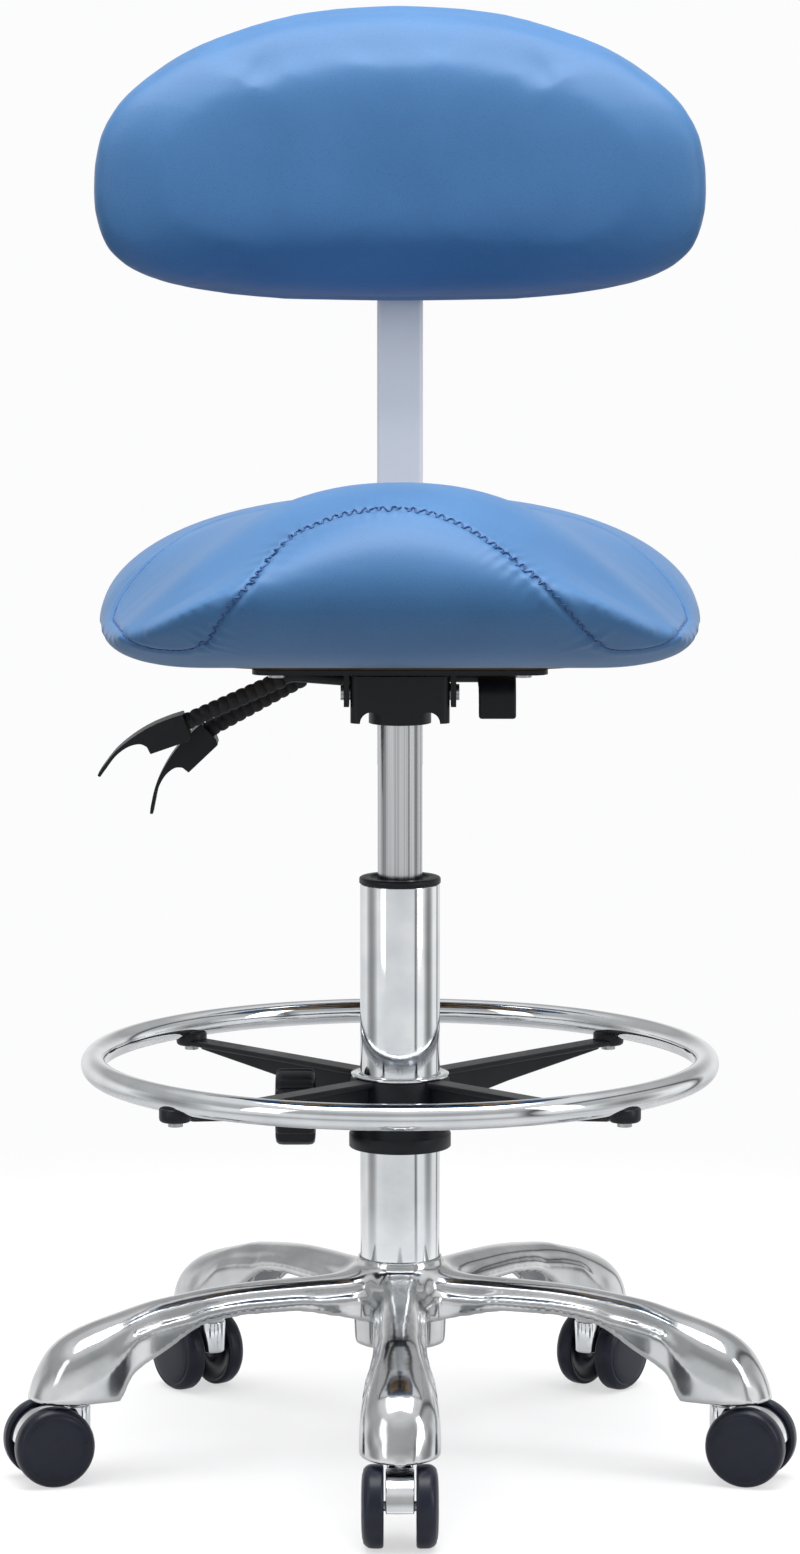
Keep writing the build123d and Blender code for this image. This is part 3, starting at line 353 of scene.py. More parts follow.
def moulded_plastic(name, light, dark, roughness, grain):
    """Moulded plastic: an even colour, a fine spark-eroded grain and slightly shinier rubbed patches."""
    material, where = material_named(name)
    flow = add(material, "ShaderNodeTexNoise", Vector=(where, "Object"), Scale=1 / (9 * MM), Detail=5.0)
    tone = add(material, "ShaderNodeValToRGB", stops=[(0.3, dark), (0.7, light)], Fac=(flow, "Fac"))
    rubbed = add(material, "ShaderNodeMapRange", Value=(flow, "Fac"), To_Min=roughness - 0.08,
                 To_Max=roughness + 0.1)
    spark = add(material, "ShaderNodeTexNoise", Vector=(where, "Object"), Scale=1 / grain, Detail=2.0)
    bump = add(material, "ShaderNodeBump", Height=(spark, "Fac"), Strength=0.25, Distance=0.12 * MM)
    return surfaced(material, Base_Color=(tone, "Color"), Roughness=(rubbed, "Result"),
                    Normal=(bump, "Normal"), IOR=1.5, Specular_IOR_Level=DARK_GLOSS)


def zinc_plated_steel():
    """Bright zinc on small steel parts: a soft bluish metal with a cloudy passivation colour."""
    material, where = material_named("zinc plated steel")
    cloud = add(material, "ShaderNodeTexNoise", Vector=(where, "Object"), Scale=1 / (5 * MM), Detail=4.0)
    tone = add(material, "ShaderNodeValToRGB", stops=[(0.3, "#989DA3"), (0.55, "#B4B7B8"), (0.8, "#BDB9A8")],
               Fac=(cloud, "Fac"))
    return surfaced(material, Metallic=1.0, Roughness=0.3, Base_Color=(tone, "Color"))


chrome = bright_chrome()
zinc = zinc_plated_steel()
wheel_nylon = moulded_plastic("moulded navy nylon", NYLON_NAVY, "#151823", 0.3, 0.5 * MM)


def caster_hood():
    """The hood over the axle and the barrel round the stem, with the stem axis at the origin."""
    centre = (TRAIL, WHEEL_R)
    outer = arc(centre, 22.4 * MM, 2, 118, 30)
    inner = [(6 * MM, 27 * MM), (12 * MM, 24 * MM)] + arc(centre, 4.8 * MM, 215, 325, 9) + [
        (25 * MM, 24.5 * MM), (31 * MM, 31 * MM), (38.6 * MM, 26 * MM)]
    cover = slab("cover", outer + inner, -HOOD_HALF, HOOD_HALF, 0.9 * MM)
    barrel = lathe("barrel", [(r * MM, z * MM) for r, z in (
        (0, 27), (7.6, 27), (8.3, 27.6), (8.45, 28.6), (8.45, 46.8), (8.2, 47.6), (7.9, 47.8), (7.9, 48.2),
        (8.2, 48.4), (8.45, 48.9), (8.4, 50), (7.9, 50.4), (0, 50.4))], 40)
    return joined("hood", [cover, barrel])


for number in range(1, LEGS + 1):
    outward = Matrix.Rotation(math.radians(-90 + 360 / LEGS * (number - 1)), 4, "Z")
    spot = outward @ Matrix.Translation((BOOT_R, 0, 0))
    hood = turned(caster_hood(), spot)
    hood.name = f"caster_{number}_hood"
    place(hood, f"caster_{number}", "hood_chrome", chrome, f"caster_{number}_fork")
    for side, quarter in (("left", -90), ("right", 90)):
        wheel = lathe(f"caster_{number}_{side}", [(r * MM, h * MM) for r, h in WHEEL_PROFILE], 72)
        turned(wheel, spot, Matrix.Translation((TRAIL, 0, WHEEL_R)),
               Matrix.Rotation(math.radians(quarter), 4, "X"))
        place(wheel, f"wheel_{number}_{side}", "wheel_plastic", wheel_nylon, f"caster_{number}_wheel_{side}")
    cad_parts[f"caster_{number}_pins"].data.materials[0] = zinc

# ------------------------------------------------------------------ gas lift
# The column is a drawn steel tube, chromed outside, with a nylon guide bush pressed in its mouth.
# The pressure tube that slides in it is centreless ground, so it shows fine lines along its length.

TUBE_R = 25 * MM
TUBE_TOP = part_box("column_tube")[1].z
LIFT_R = 14 * MM
LIFT_FOOT, LIFT_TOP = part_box("pressure_tube")[0].z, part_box("pressure_tube")[1].z
SOCKET_FOOT = 466 * MM              # where the mechanism grips the pressure tube


def ground_steel():
    """Ground and hard-chromed steel: bright, with lines that run up the tube.

    The real grinding lines are finer than a tenth of a millimetre, drawn here at 0.9 mm so that they show."""
    material, where = material_named("ground lift steel")
    drawn = add(material, "ShaderNodeMapping", Vector=(where, "Object"),
                Scale=(1 / (0.9 * MM), 1 / (0.9 * MM), 1.2))
    lines = add(material, "ShaderNodeTexNoise", Vector=(drawn, 0), Scale=1.0, Detail=3.0)
    tone = add(material, "ShaderNodeValToRGB", stops=[(0.32, "#A9ABAF"), (0.68, "#D0D2D4")],
               Fac=(lines, "Fac"))
    rough = add(material, "ShaderNodeMapRange", Value=(lines, "Fac"), To_Min=0.12, To_Max=0.28)
    bump = add(material, "ShaderNodeBump", Height=(lines, "Fac"), Strength=0.15, Distance=0.1 * MM)
    return surfaced(material, Metallic=1.0, Base_Color=(tone, "Color"), Roughness=(rough, "Result"),
                    Normal=(bump, "Normal"))


black_nylon = moulded_plastic("moulded black nylon", "#15181F", "#0D0F15", 0.42, 0.45 * MM)

column = lathe("column", [(4.1 * MM, 72 * MM), (23 * MM, 72 * MM), (23.6 * MM, 72.6 * MM),
                          (24.98 * MM, 129 * MM), (TUBE_R, 131 * MM), (TUBE_R, TUBE_TOP - 0.8 * MM),
                          (24.8 * MM, TUBE_TOP - 0.2 * MM), (24.2 * MM, TUBE_TOP), (22.1 * MM, TUBE_TOP),
                          (22.1 * MM, 290 * MM), (22.1 * MM, 75 * MM), (4.1 * MM, 75 * MM),
                          (4.1 * MM, 72 * MM)], 128)
place(column, "base", "chrome_tube", chrome, "column_tube")

bush = lathe("guide_bush", [(r * MM, z * MM) for r, z in (
    (14.15, 291), (22, 291), (22, 365.1), (25.1, 365.1), (25.5, 365.5), (25.5, 367.9), (25.2, 368.6),
    (24.5, 369), (19.5, 369), (19, 368.8), (18.6, 368), (16, 367.6), (14.9, 367.2), (14.3, 366.4),
    (14.15, 365), (14.15, 291))], 96)
place(bush, "base", "black_plastic", black_nylon, "column_bush")

pressure_tube = lathe("pressure_tube_skin", [
    (5.1 * MM, LIFT_FOOT), (13.2 * MM, LIFT_FOOT), (LIFT_R, LIFT_FOOT + 0.8 * MM), (LIFT_R, 380 * MM),
    (LIFT_R, SOCKET_FOOT), (13.4 * MM, LIFT_TOP - 0.4 * MM), (13 * MM, LIFT_TOP), (4.1 * MM, LIFT_TOP),
    (4.1 * MM, LIFT_TOP - 6 * MM), (5.1 * MM, LIFT_FOOT + 8 * MM), (5.1 * MM, LIFT_FOOT)], 96)
place(pressure_tube, "lift", "lift_steel", ground_steel(), "pressure_tube")

for part in ("piston_rod", "thrust_bearing", "release_button", "mech_pins"):
    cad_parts[part].data.materials[0] = zinc

# ------------------------------------------------------------------ foot ring
# A steel tube, bent round, welded shut and chromed.  It is screwed from below on four powder-coated
# spokes of a nylon hub.  The hub slides on the column on a split collet, and a hand knob clamps it.

RING_R = 192 * MM
RING_TUBE = 8 * MM
RING_Z = 252 * MM
HUB_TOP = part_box("ring_hub")[1].z
HUB_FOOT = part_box("ring_hub")[0].z
SPOKES = 4
KNOB_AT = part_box("ring_knob")


def powder_coat(name, light, dark, roughness):
    """Baked polyester powder: a tough satin skin with the orange-peel that the powder leaves as it melts."""
    material, where = material_named(name)
    peel = add(material, "ShaderNodeTexNoise", Vector=(where, "Object"), Scale=1 / (1.4 * MM), Detail=2.0)
    drift = add(material, "ShaderNodeTexNoise", Vector=(where, "Object"), Scale=1 / (18 * MM), Detail=3.0)
    tone = add(material, "ShaderNodeValToRGB", stops=[(0.3, dark), (0.7, light)], Fac=(drift, "Fac"))
    rough = add(material, "ShaderNodeMapRange", Value=(drift, "Fac"), To_Min=roughness - 0.06,
                To_Max=roughness + 0.08)
    bump = add(material, "ShaderNodeBump", Height=(peel, "Fac"), Strength=0.22, Distance=0.2 * MM)
    return surfaced(material, Base_Color=(tone, "Color"), Roughness=(rough, "Result"),
                    Normal=(bump, "Normal"),
                    Coat_Weight=0.05, Coat_Roughness=0.25, Specular_IOR_Level=DARK_GLOSS)


black_coat = powder_coat("black powder coat", "#14171E", "#0C0E14", 0.4)

section = arc((RING_R, RING_Z), RING_TUBE, 0, 360, 37)
ring = lathe("ring_tube", section, 192)
modify(ring, "WELD", merge_threshold=0.01 * MM)
ring.data.shade_smooth()
place(ring, "foot_ring", "chrome_tube", chrome, "foot_ring")


def spoke():
    """One spoke along +X: a flat top, a web that is deepest at the hub, and a rounded pad under the ring."""
    top = HUB_TOP
    flat = slab("flat", [(27 * MM, top - 3.6 * MM), (RING_R, top - 3.6 * MM), (RING_R, top), (27 * MM, top)],
                -7.5 * MM, 7.5 * MM, 1.2 * MM)
    web = slab("web", [(27 * MM, top - 26 * MM), (96 * MM, top - 15.5 * MM),
                       (RING_R - 12 * MM, top - 5.6 * MM), (RING_R - 9 * MM, top - 2 * MM),
                       (27 * MM, top - 2 * MM)], -3 * MM, 3 * MM, 1.2 * MM)
    pad = lathe("pad", [(0, -4 * MM), (8.6 * MM, -4 * MM), (9.6 * MM, -3.2 * MM), (9.9 * MM, -2 * MM),
                        (9.9 * MM, 3.6 * MM), (9.3 * MM, 4.4 * MM), (0, 4.4 * MM)], 40)
    return joined("spoke", [flat, web, turned(pad, Matrix.Translation((RING_R, 0, top)))])


spokes = joined("spokes", [turned(spoke(), Matrix.Rotation(math.radians(45 + 360 / SPOKES * i), 4, "Z"))
                           for i in range(SPOKES)])
place(spokes, "foot_ring", "black_steel", black_coat, "ring_spokes")

hub_profile = [(27.2, 1), (28, 0), (31.4, 0), (32, 0.6), (32, 8.4), (31.6, 9), (31, 9.4), (31, 43.6),
               (30.6, 44.6), (29.8, 45), (27.6, 45), (27.2, 44.4), (27.2, 1)]
hub = lathe("hub_body", [(r * MM, HUB_FOOT + z * MM) for r, z in hub_profile], 96)
boss = lathe("boss", [(4.2 * MM, 44 * MM), (7.6 * MM, 44 * MM), (8.6 * MM, 43.2 * MM), (9 * MM, 42 * MM),
                      (9 * MM, 29 * MM), (4.2 * MM, 29 * MM), (4.2 * MM, 44 * MM)], 48)
KNOB_Z = (KNOB_AT[0].z + KNOB_AT[1].z) / 2
along_minus_x = Matrix.Translation((0, 0, KNOB_Z)) @ Matrix.Rotation(math.radians(-90), 4, "Y")
turned(boss, Matrix.Translation((1 * MM, 0, 0)), along_minus_x)
place(joined("ring_hub_body", [hub, boss]), "foot_ring", "black_plastic", black_nylon, "ring_hub")

collet = lathe("collet", [(r * MM, z * MM) for r, z in (
    (25.15, 201), (27, 201), (27, 243.1), (30.4, 243.1), (30.9, 243.5), (30.9, 244.6), (30.5, 245),
    (25.6, 245), (25.15, 244.6), (25.15, 201))], 96)
place(collet, "ring_carrier", "chrome_tube", chrome, "ring_collet")


def star_knob(radius, thick, lobes):
    """A moulded hand knob about Z: finger hollows, a domed cap and a moulded rim line."""
    steps = 16 * lobes
    rings = []
    for share, height in ((0.0, 0.03), (0.8, 0.0), (0.93, 0.02), (0.985, 0.08), (1.0, 0.18), (1.0, 0.8),
                          (0.985, 0.9), (0.93, 0.965), (0.82, 0.985), (0.76, 0.97), (0.72, 0.985),
                          (0.4, 1.0), (0.0, 1.0)):
        rings.append([])
        for k in range(steps):
            a = 2 * math.pi * k / steps
            hollow = max(0.0, math.cos(lobes * a)) ** 2
            r = radius * max(share, 0.02) * (1 - 0.13 * hollow * min(1.0, share * 1.1))
            rings[-1].append((r * math.cos(a), r * math.sin(a), thick * height))
    return loft("knob", rings)


lock_knob = star_knob(24 * MM, KNOB_AT[1].x - KNOB_AT[0].x, 8)
turned(lock_knob, Matrix.Translation((KNOB_AT[1].x, 0, KNOB_Z)), Matrix.Rotation(math.radians(-90), 4, "Y"))
lock_knob.name = "ring_lock_knob"
place(lock_knob, "ring_knob", "black_plastic", black_nylon, "ring_knob")
for part in ("ring_knob_screw", "back_knob_screw", "ring_screws", "seat_bolts", "seat_nuts", "back_bolts"):
    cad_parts[part].data.materials[0] = zinc

# ------------------------------------------------------------------ seat mechanism
# A pressed steel channel over the top of the lift, powder-coated black.  The seat plate hangs on its front
# axle, and both are mild steel, stamped, bent and welded.

for part in ("mech_housing", "seat_plate"):
    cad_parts[part].data.materials[0] = black_coat

# ------------------------------------------------------------------ hand levers
# Two bent steel rods come out of the housing's side.  Each has a ribbed rubber bellows over it and a
# moulded nylon paddle pressed on its end.  The first one works the lift, the second the tilt lock.

RIB_PITCH = 6.2 * MM
ROD_R = 4 * MM
LEVERS = {
    "height": (0.0, [(4, 490), (-68, 495.5), (-134, 466)], 19.0),
    "tilt": (28.0, [(-8, 490), (-56, 493.5), (-121, 458)], 43.5),
}
PADDLE_TOP = [(-1, 6.2), (8, 6.4), (20, 5.6), (32.4, 3.0), (45.7, -1.9), (56.7, -8.8), (62, -13)]
PADDLE_UNDER = [(60.6, -14.4), (55, -10.4), (46.6, -4.8), (37.8, -2.0), (30.4, -2.6), (26.6, -5.8)]
PADDLE_HEEL = [(26, -10.7), (0.6, -10.7), (-1, -7.4)]


def bent(points, radius, step=0.5 * MM):
    """Points along straight runs joined by a round bend at each inner corner."""
    corners = [Vector(p) for p in points]
    line = [corners[0]]
    for a, b, c in zip(corners, corners[1:], corners[2:]):
        u, v = (a - b).normalized(), (c - b).normalized()
        half = u.angle(v) / 2
        reach = radius / math.tan(half)
        centre = b + (u + v).normalized() * radius / math.sin(half)
        start, end = b + u * reach - centre, b + v * reach - centre
        count = 12
        line += [centre + start.lerp(end, k / count).normalized() * radius for k in range(count + 1)]
    line.append(corners[-1])
    even = [line[0]]
    for a, b in zip(line, line[1:]):
        count = max(1, round((b - a).length / step))
        even += [a.lerp(b, (k + 1) / count) for k in range(count)]
    return even


def tube_along(name, line, radius_at, segments=28):
    """A round skin along a line in an XZ plane, with a radius for each distance from its start."""
    rings, travelled = [], 0.0
    for i, point in enumerate(line):
        ahead = (line[min(i + 1, len(line) - 1)] - line[max(i - 1, 0)]).normalized()
        side = Vector((0, 1, 0))
        up = ahead.cross(side)
        if i:
            travelled += (point - line[i - 1]).length
        r = radius_at(travelled)
        rings.append([point + (side * math.cos(a) + up * math.sin(a)) * r
                      for a in (2 * math.pi * k / segments for k in range(segments))])
    return loft(name, rings)


def smooth_outline(points, steps=6):
    """More points along a smooth line through the given ones."""
    fine = []
    count = len(points)
    for i in range(count - 1):
        a, b = Vector(points[max(i - 1, 0)]), Vector(points[i])
        c, d = Vector(points[i + 1]), Vector(points[min(i + 2, count - 1)])
        for k in range(steps):
            t = k / steps
            fine.append(0.5 * ((2 * b) + (c - a) * t + (2 * a - 5 * b + 4 * c - d) * t * t
                               + (3 * b - a - 3 * c + d) * t ** 3))
    return [tuple(p) for p in fine] + [tuple(points[-1])]


def paddle(lever_end, y, turn):
    """The paddle: a socket block and a blade that curls down and narrows to its tip."""
    a = math.radians(turn)
    outline = smooth_outline(PADDLE_TOP) + smooth_outline(PADDLE_UNDER) + PADDLE_HEEL
    flat = [(u * MM, v * MM) for u, v in outline]
    blade = slab("blade", flat, -12.5 * MM, 12.5 * MM, 1.0 * MM)
    for vertex in blade.data.vertices:
        along = max(0.0, vertex.co.x - 30 * MM) / (32 * MM)
        vertex.co.y *= 1 - 0.28 * along ** 2
    out = Matrix(((-math.cos(a), 0, -math.sin(a), lever_end[0] * MM), (0, -1, 0, y * MM),
                  (-math.sin(a), 0, math.cos(a), lever_end[1] * MM), (0, 0, 0, 1)))
    return turned(blade, out)


def ribbed_rubber():
    """Moulded rubber bellows: matt black with a dusty bloom in the grooves."""
    material, where = material_named("moulded black rubber")
    bloom = add(material, "ShaderNodeTexNoise", Vector=(where, "Object"), Scale=1 / (3 * MM), Detail=5.0)
    tone = add(material, "ShaderNodeValToRGB", stops=[(0.35, "#131417"), (0.75, "#25262A")],
               Fac=(bloom, "Fac"))
    bump = add(material, "ShaderNodeBump", Height=(bloom, "Fac"), Strength=0.2, Distance=0.15 * MM)
    return surfaced(material, Base_Color=(tone, "Color"), Normal=(bump, "Normal"), Roughness=0.62,
                    Specular_IOR_Level=0.35)


def rib_radius(distance):
    """The bellows' radius: round ribs with narrow grooves between them."""
    wave = abs(math.sin(math.pi * distance / RIB_PITCH))
    return (4.35 + 1.1 * wave ** 0.55) * MM


bellows_rubber = ribbed_rubber()
for lever, (y, corners, turn) in LEVERS.items():
    line = bent([(x * MM, y * MM, z * MM) for x, z in corners], 18 * MM)
    rod = tube_along(f"{lever}_rod", line, lambda d: ROD_R)
    place(rod, f"{lever}_lever", "black_steel", black_coat, f"{lever}_lever_rod")
    knee, tip = Vector((corners[1][0], y, corners[1][1])) * MM, Vector((corners[2][0], y, corners[2][1])) * MM
    start = knee + (tip - knee).normalized() * 5 * MM
    length = (tip - start).length
    count = round(length / (0.4 * MM))
    bellows = tube_along(f"{lever}_bellows", [start.lerp(tip, k / count) for k in range(count + 1)],
                         rib_radius)
    place(bellows, f"{lever}_lever", "sleeve_rubber", bellows_rubber, f"{lever}_lever_sleeve")
    handle = paddle(corners[2], y, turn)
    handle.name = f"{lever}_paddle"
    place(handle, f"{lever}_lever", "black_plastic", black_nylon, f"{lever}_lever_paddle")

# The backrest lever is a short moulded grip on a rod that comes out of the housing's other side.  It
# hooks down in front, so that a finger can lift it.
grip_low, grip_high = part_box("back_lever_grip")
AXIS_Y, AXIS_Z = 10 * MM, 494 * MM
GRIP_SIDE = [(8, 6), (-40, 6), (-47, 5), (-52, 0), (-54, -7), (-54, -21), (-46, -21), (-44.6, -13),
             (-42, -8.5), (-34, -5.6), (8, -6)]
grip = slab("back_lever_hook", [((AXIS_Y + u * MM), (AXIS_Z + v * MM)) for u, v in GRIP_SIDE], -grip_high.x,
            -grip_low.x, 1.8 * MM)
turned(grip, Matrix.Rotation(math.radians(90), 4, "Z"))
place(grip, "back_lever", "black_plastic", black_nylon, "back_lever_grip")
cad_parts["back_lever_rod"].data.materials[0] = black_coat

# ------------------------------------------------------------------ saddle seat
# Moulded foam on a plywood pan, under a vinyl cover cut in panels: a front panel under a bell-shaped
# puckered seam, two thigh panels and a rim band.  The cover is pulled tight and stapled under the pan.

# Tables by y: widest line, half width, crest, fullness of the dome (two powers) and underside.
SEAT_SKIRT = [(-185, 563), (-178, 556), (-165, 547), (-145, 538), (-115, 531.5), (-95, 530), (175, 530)]
SEAT_WIDE = [(-185, 98), (-180, 116), (-170, 134), (-152, 152), (-115, 174), (-85, 180), (-46, 184.5),
             (0, 187.5), (60, 187.5), (100, 185), (125, 176), (150, 153), (166, 122), (175, 88)]
SEAT_CROWN = [(-185, 570), (-183, 579), (-178, 589), (-170, 598), (-154, 609), (-130, 617.5), (-108, 621),
              (-85, 622), (-46, 616), (0, 606.5), (40, 601.5), (100, 600.5), (126, 598), (145, 590),
              (160, 577), (170, 563), (175, 550)]
SEAT_POWER = [(-185, 2.0), (-150, 1.9), (-115, 2.1), (-85, 2.35), (-46, 2.25), (0, 2.2), (175, 2.3)]
SEAT_ROOT = [(-185, 0.8), (-165, 1.15), (-150, 1.25), (-115, 1.15), (-85, 1.3), (-46, 1.02), (-20, 0.78),
             (0, 0.62), (50, 0.5), (175, 0.5)]
SEAT_UNDER = [(-185, 556), (-183, 549), (-178, 541), (-165, 529), (-145, 519), (-120, 513), (-95, 510.5),
              (-70, 509.5), (150, 509.5), (175, 519)]
# Seams as (x, z) seen from the front: the bell, and the front and outer edges of the thigh panels.
BELL_SEAM = [(-116, 528), (-112.8, 532.7), (-103.3, 546.9), (-90.3, 563.5), (-80.8, 577.6), (-66.7, 592.9),
             (-52.6, 600.5), (-33.8, 607.5), (-15, 610.4), (3.8, 610.6), (20.2, 607.5), (36.6, 601.2),
             (50.7, 592.9), (64.9, 582.3), (79, 570.5), (93.1, 555.2), (107.3, 539.8), (117, 530)]
FRONT_SEAM = [(167, 535), (162, 529.5), (154, 526), (143, 524), (129, 523.7), (121, 526), (117, 530)]
RIM_SEAM = [(176, 532), (174.5, 539), (171, 546), (163.5, 557), (151, 570.5), (134, 583), (112, 592.6),
            (92, 597.5)]
RIM_OVER = [(83, 51.5), (60, 51), (30, 49), (0, 48)]  # the same seam over the top, as (x, y)
VINYL = "#4278AE"
VINYL_DEEP = "#3B70A5"
VINYL_GRAIN = 1.1 * MM              # leather grain of the embossed skin
SEAT_ROLL = 54.0                    # how far in the lower edge rolls, in millimetres
COVER_VOXEL = 3.6 * MM
STAPLE_Z = 514 * MM                 # below this the cover is stapled to the pan
SEAM_HOLD = 3 * MM                  # the sewing holds the cover down this far from a seam
SEAT_SWELL = 3.2 * MM               # the most that the foam pushes the cover out
STITCH = 3.0 * MM


def seat_ring(y):
    """One cross-section of the seat at y: a dome, a rolled lower edge and a flat underside."""
    half, crest, low = through(SEAT_WIDE, y), through(SEAT_CROWN, y), through(SEAT_UNDER, y)
    power, root, skirt = through(SEAT_POWER, y), through(SEAT_ROOT, y), through(SEAT_SKIRT, y)
    roll = min(SEAT_ROLL, 0.42 * half)
    ring = []
    for t in np.linspace(1, -1, 61):
        u = math.sin(t * math.pi / 2)
        ring.append((half * u, skirt + (crest - skirt) * (1 - abs(u) ** power) ** root))
    corner = [(half - roll * (1 - math.cos(a)), skirt - (skirt - low) * math.sin(a))
              for a in np.linspace(0, math.pi / 2, 10)[1:]]
    ring += [(-x, z) for x, z in corner]
    ring += [(x, low) for x in np.linspace(roll - half, half - roll, 24)[1:-1]]
    ring += corner[::-1]
    return [Vector((x, y, z)) * MM for x, z in ring]


def held_group(piece, held):
    """Marks the points that the sewing, the staples or a board hold still."""
    group = piece.vertex_groups.new(name="held")
    group.add([v.index for v in piece.data.vertices if held(v.co)], 1.0, "REPLACE")
    return group.name


def stuffed(piece, held, swell, pressure=4.0):
    """Lets the cover swell over its foam as cloth under pressure, by no more than swell."""
    group = held_group(piece, held)
    before = np.array([v.co for v in piece.data.vertices])
    cloth = piece.modifiers.new("cover", "CLOTH")
    cloth.settings.quality = 5
    cloth.settings.mass = 0.3
    cloth.settings.tension_stiffness = cloth.settings.compression_stiffness = 12
    cloth.settings.bending_stiffness = 1.5
    cloth.settings.use_pressure = True
    cloth.settings.uniform_pressure_force = pressure
    cloth.settings.vertex_group_mass = group
    cloth.settings.effector_weights.gravity = 0
    cloth.point_cache.frame_start, cloth.point_cache.frame_end = 1, 20
    for step in range(1, 21):
        bpy.context.scene.frame_set(step)
    swollen = piece.evaluated_get(bpy.context.evaluated_depsgraph_get())
    move = np.array([v.co for v in swollen.data.vertices]) - before
    far = np.linalg.norm(move, axis=1, keepdims=True)
    after = before + move * np.minimum(1.0, swell / np.maximum(far, 1e-9))
    piece.modifiers.clear()
    bpy.context.scene.frame_set(1)
    piece.data.vertices.foreach_set("co", after.ravel())
    piece.vertex_groups.clear()
    modify(piece, "SMOOTH", factor=0.5, iterations=4)
    modify(piece, "SUBSURF", levels=1, render_levels=1)
    piece.data.shade_smooth()
    return piece


def skin_of(piece):
    """The piece's faces, ready for rays and nearest points."""
    return BVHTree.FromPolygons([v.co[:] for v in piece.data.vertices],
                                [p.vertices[:] for p in piece.data.polygons])


def along(points, step):
    """Points at an even step along a line."""
    points = np.array([tuple(p) for p in points])
    length = np.concatenate([[0], np.cumsum(np.linalg.norm(np.diff(points, axis=0), axis=1))])
    at = np.linspace(0, length[-1], max(2, round(length[-1] / step) + 1))
    return np.stack([np.interp(at, length, points[:, k]) for k in range(3)], axis=1)


def seen_from_front(skin, points, y):
    """Drops (x, z) points of the plane y on to the skin, along a line that falls slightly to the rear."""
    way = Vector((0, 1, -0.08)).normalized()
    hits = [skin.ray_cast(Vector((x * MM, y * MM, z * MM)) - way * 0.2, way)[0] for x, z in points]
    return [h for h in hits if h is not None]


def sew(piece, lines, width, depth, pucker=0.0):
    """Sinks a groove along each line, with a soft roll beside it and puckers that die out from the seam."""
    count = len(piece.data.vertices)
    where, facing = np.empty(count * 3), np.empty(count * 3)
    piece.data.vertices.foreach_get("co", where)
    piece.data.vertices.foreach_get("normal", facing)
    where, facing = where.reshape(-1, 3), facing.reshape(-1, 3)
    for line in lines:
        dots = along(line, 1 * MM)
        tree = KDTree(len(dots))
        for i, dot in enumerate(dots):
            tree.insert(dot, i)
        tree.balance()
        near = np.where((where > dots.min(0) - 0.03).all(1) & (where < dots.max(0) + 0.03).all(1))[0]
        found = [tree.find(where[i]) for i in near]
        run = np.array([f[1] for f in found], float)
        gap = np.array([f[2] for f in found])
        lift = (-depth * np.exp(-(gap / width) ** 2)
                + 0.35 * depth * np.exp(-((gap - 2.6 * width) / (1.6 * width)) ** 2))
        if pucker:
            phase = run * 2 * math.pi / 8.5 + 1.9 * np.sin(run / 21) + 0.8 * np.sin(run / 7.7)
            strength = 0.55 + 0.45 * np.sin(run / 13 + 1.0)
            fading = np.minimum(1, gap / (2 * MM)) * np.exp(-gap / (6.5 * MM))
            lift += pucker * strength * np.sin(phase) * fading
        where[near] += facing[near] * lift[:, None]
    piece.data.vertices.foreach_set("co", where.ravel())
    piece.data.update()


def thread(name, runs, radius):
    """Round thread along each run of points."""
    curve = bpy.data.curves.new(name, "CURVE")
    curve.dimensions = "3D"
    curve.bevel_depth = radius
    curve.bevel_resolution = 2
    curve.use_fill_caps = True
    for run in runs:
        spline = curve.splines.new("POLY")
        spline.points.add(len(run) - 1)
        four = np.concatenate([np.array(run), np.ones((len(run), 1))], axis=1)
        spline.points.foreach_set("co", four.ravel())
    made = bpy.data.objects.new(name, curve)
    mesh = bpy.data.meshes.new_from_object(made)
    bpy.data.objects.remove(made)
    piece = bpy.data.objects.new(name, mesh)
    bpy.context.scene.collection.objects.link(piece)
    mesh.shade_smooth()
    return piece


def stitches(skin, line, pitch, rise, bow=0.35 * MM, swing=0.0):
    """Short runs over the skin along a line, each dipping into its needle holes; swing makes them zig-zag."""
    dots = along(line, pitch)
    ahead = np.gradient(dots, axis=0)
    across = np.array([Vector(a).cross(skin.find_nearest(Vector(d))[1]).normalized()
                       for a, d in zip(ahead, dots)])
    dots = dots + across * swing * np.where(np.arange(len(dots)) % 2, 1, -1)[:, None]
    runs = []
    for a, b in zip(dots, dots[1:]):
        run = []
        for t in (0.1, 0.3, 0.5, 0.7, 0.9):
            spot = Vector(a + (b - a) * t)
            hit, normal = skin.find_nearest(spot)[:2]
            run.append(tuple(hit + normal * (rise + bow * (4 * t * (1 - t) - 0.7))))
        runs.append(run)
    return runs


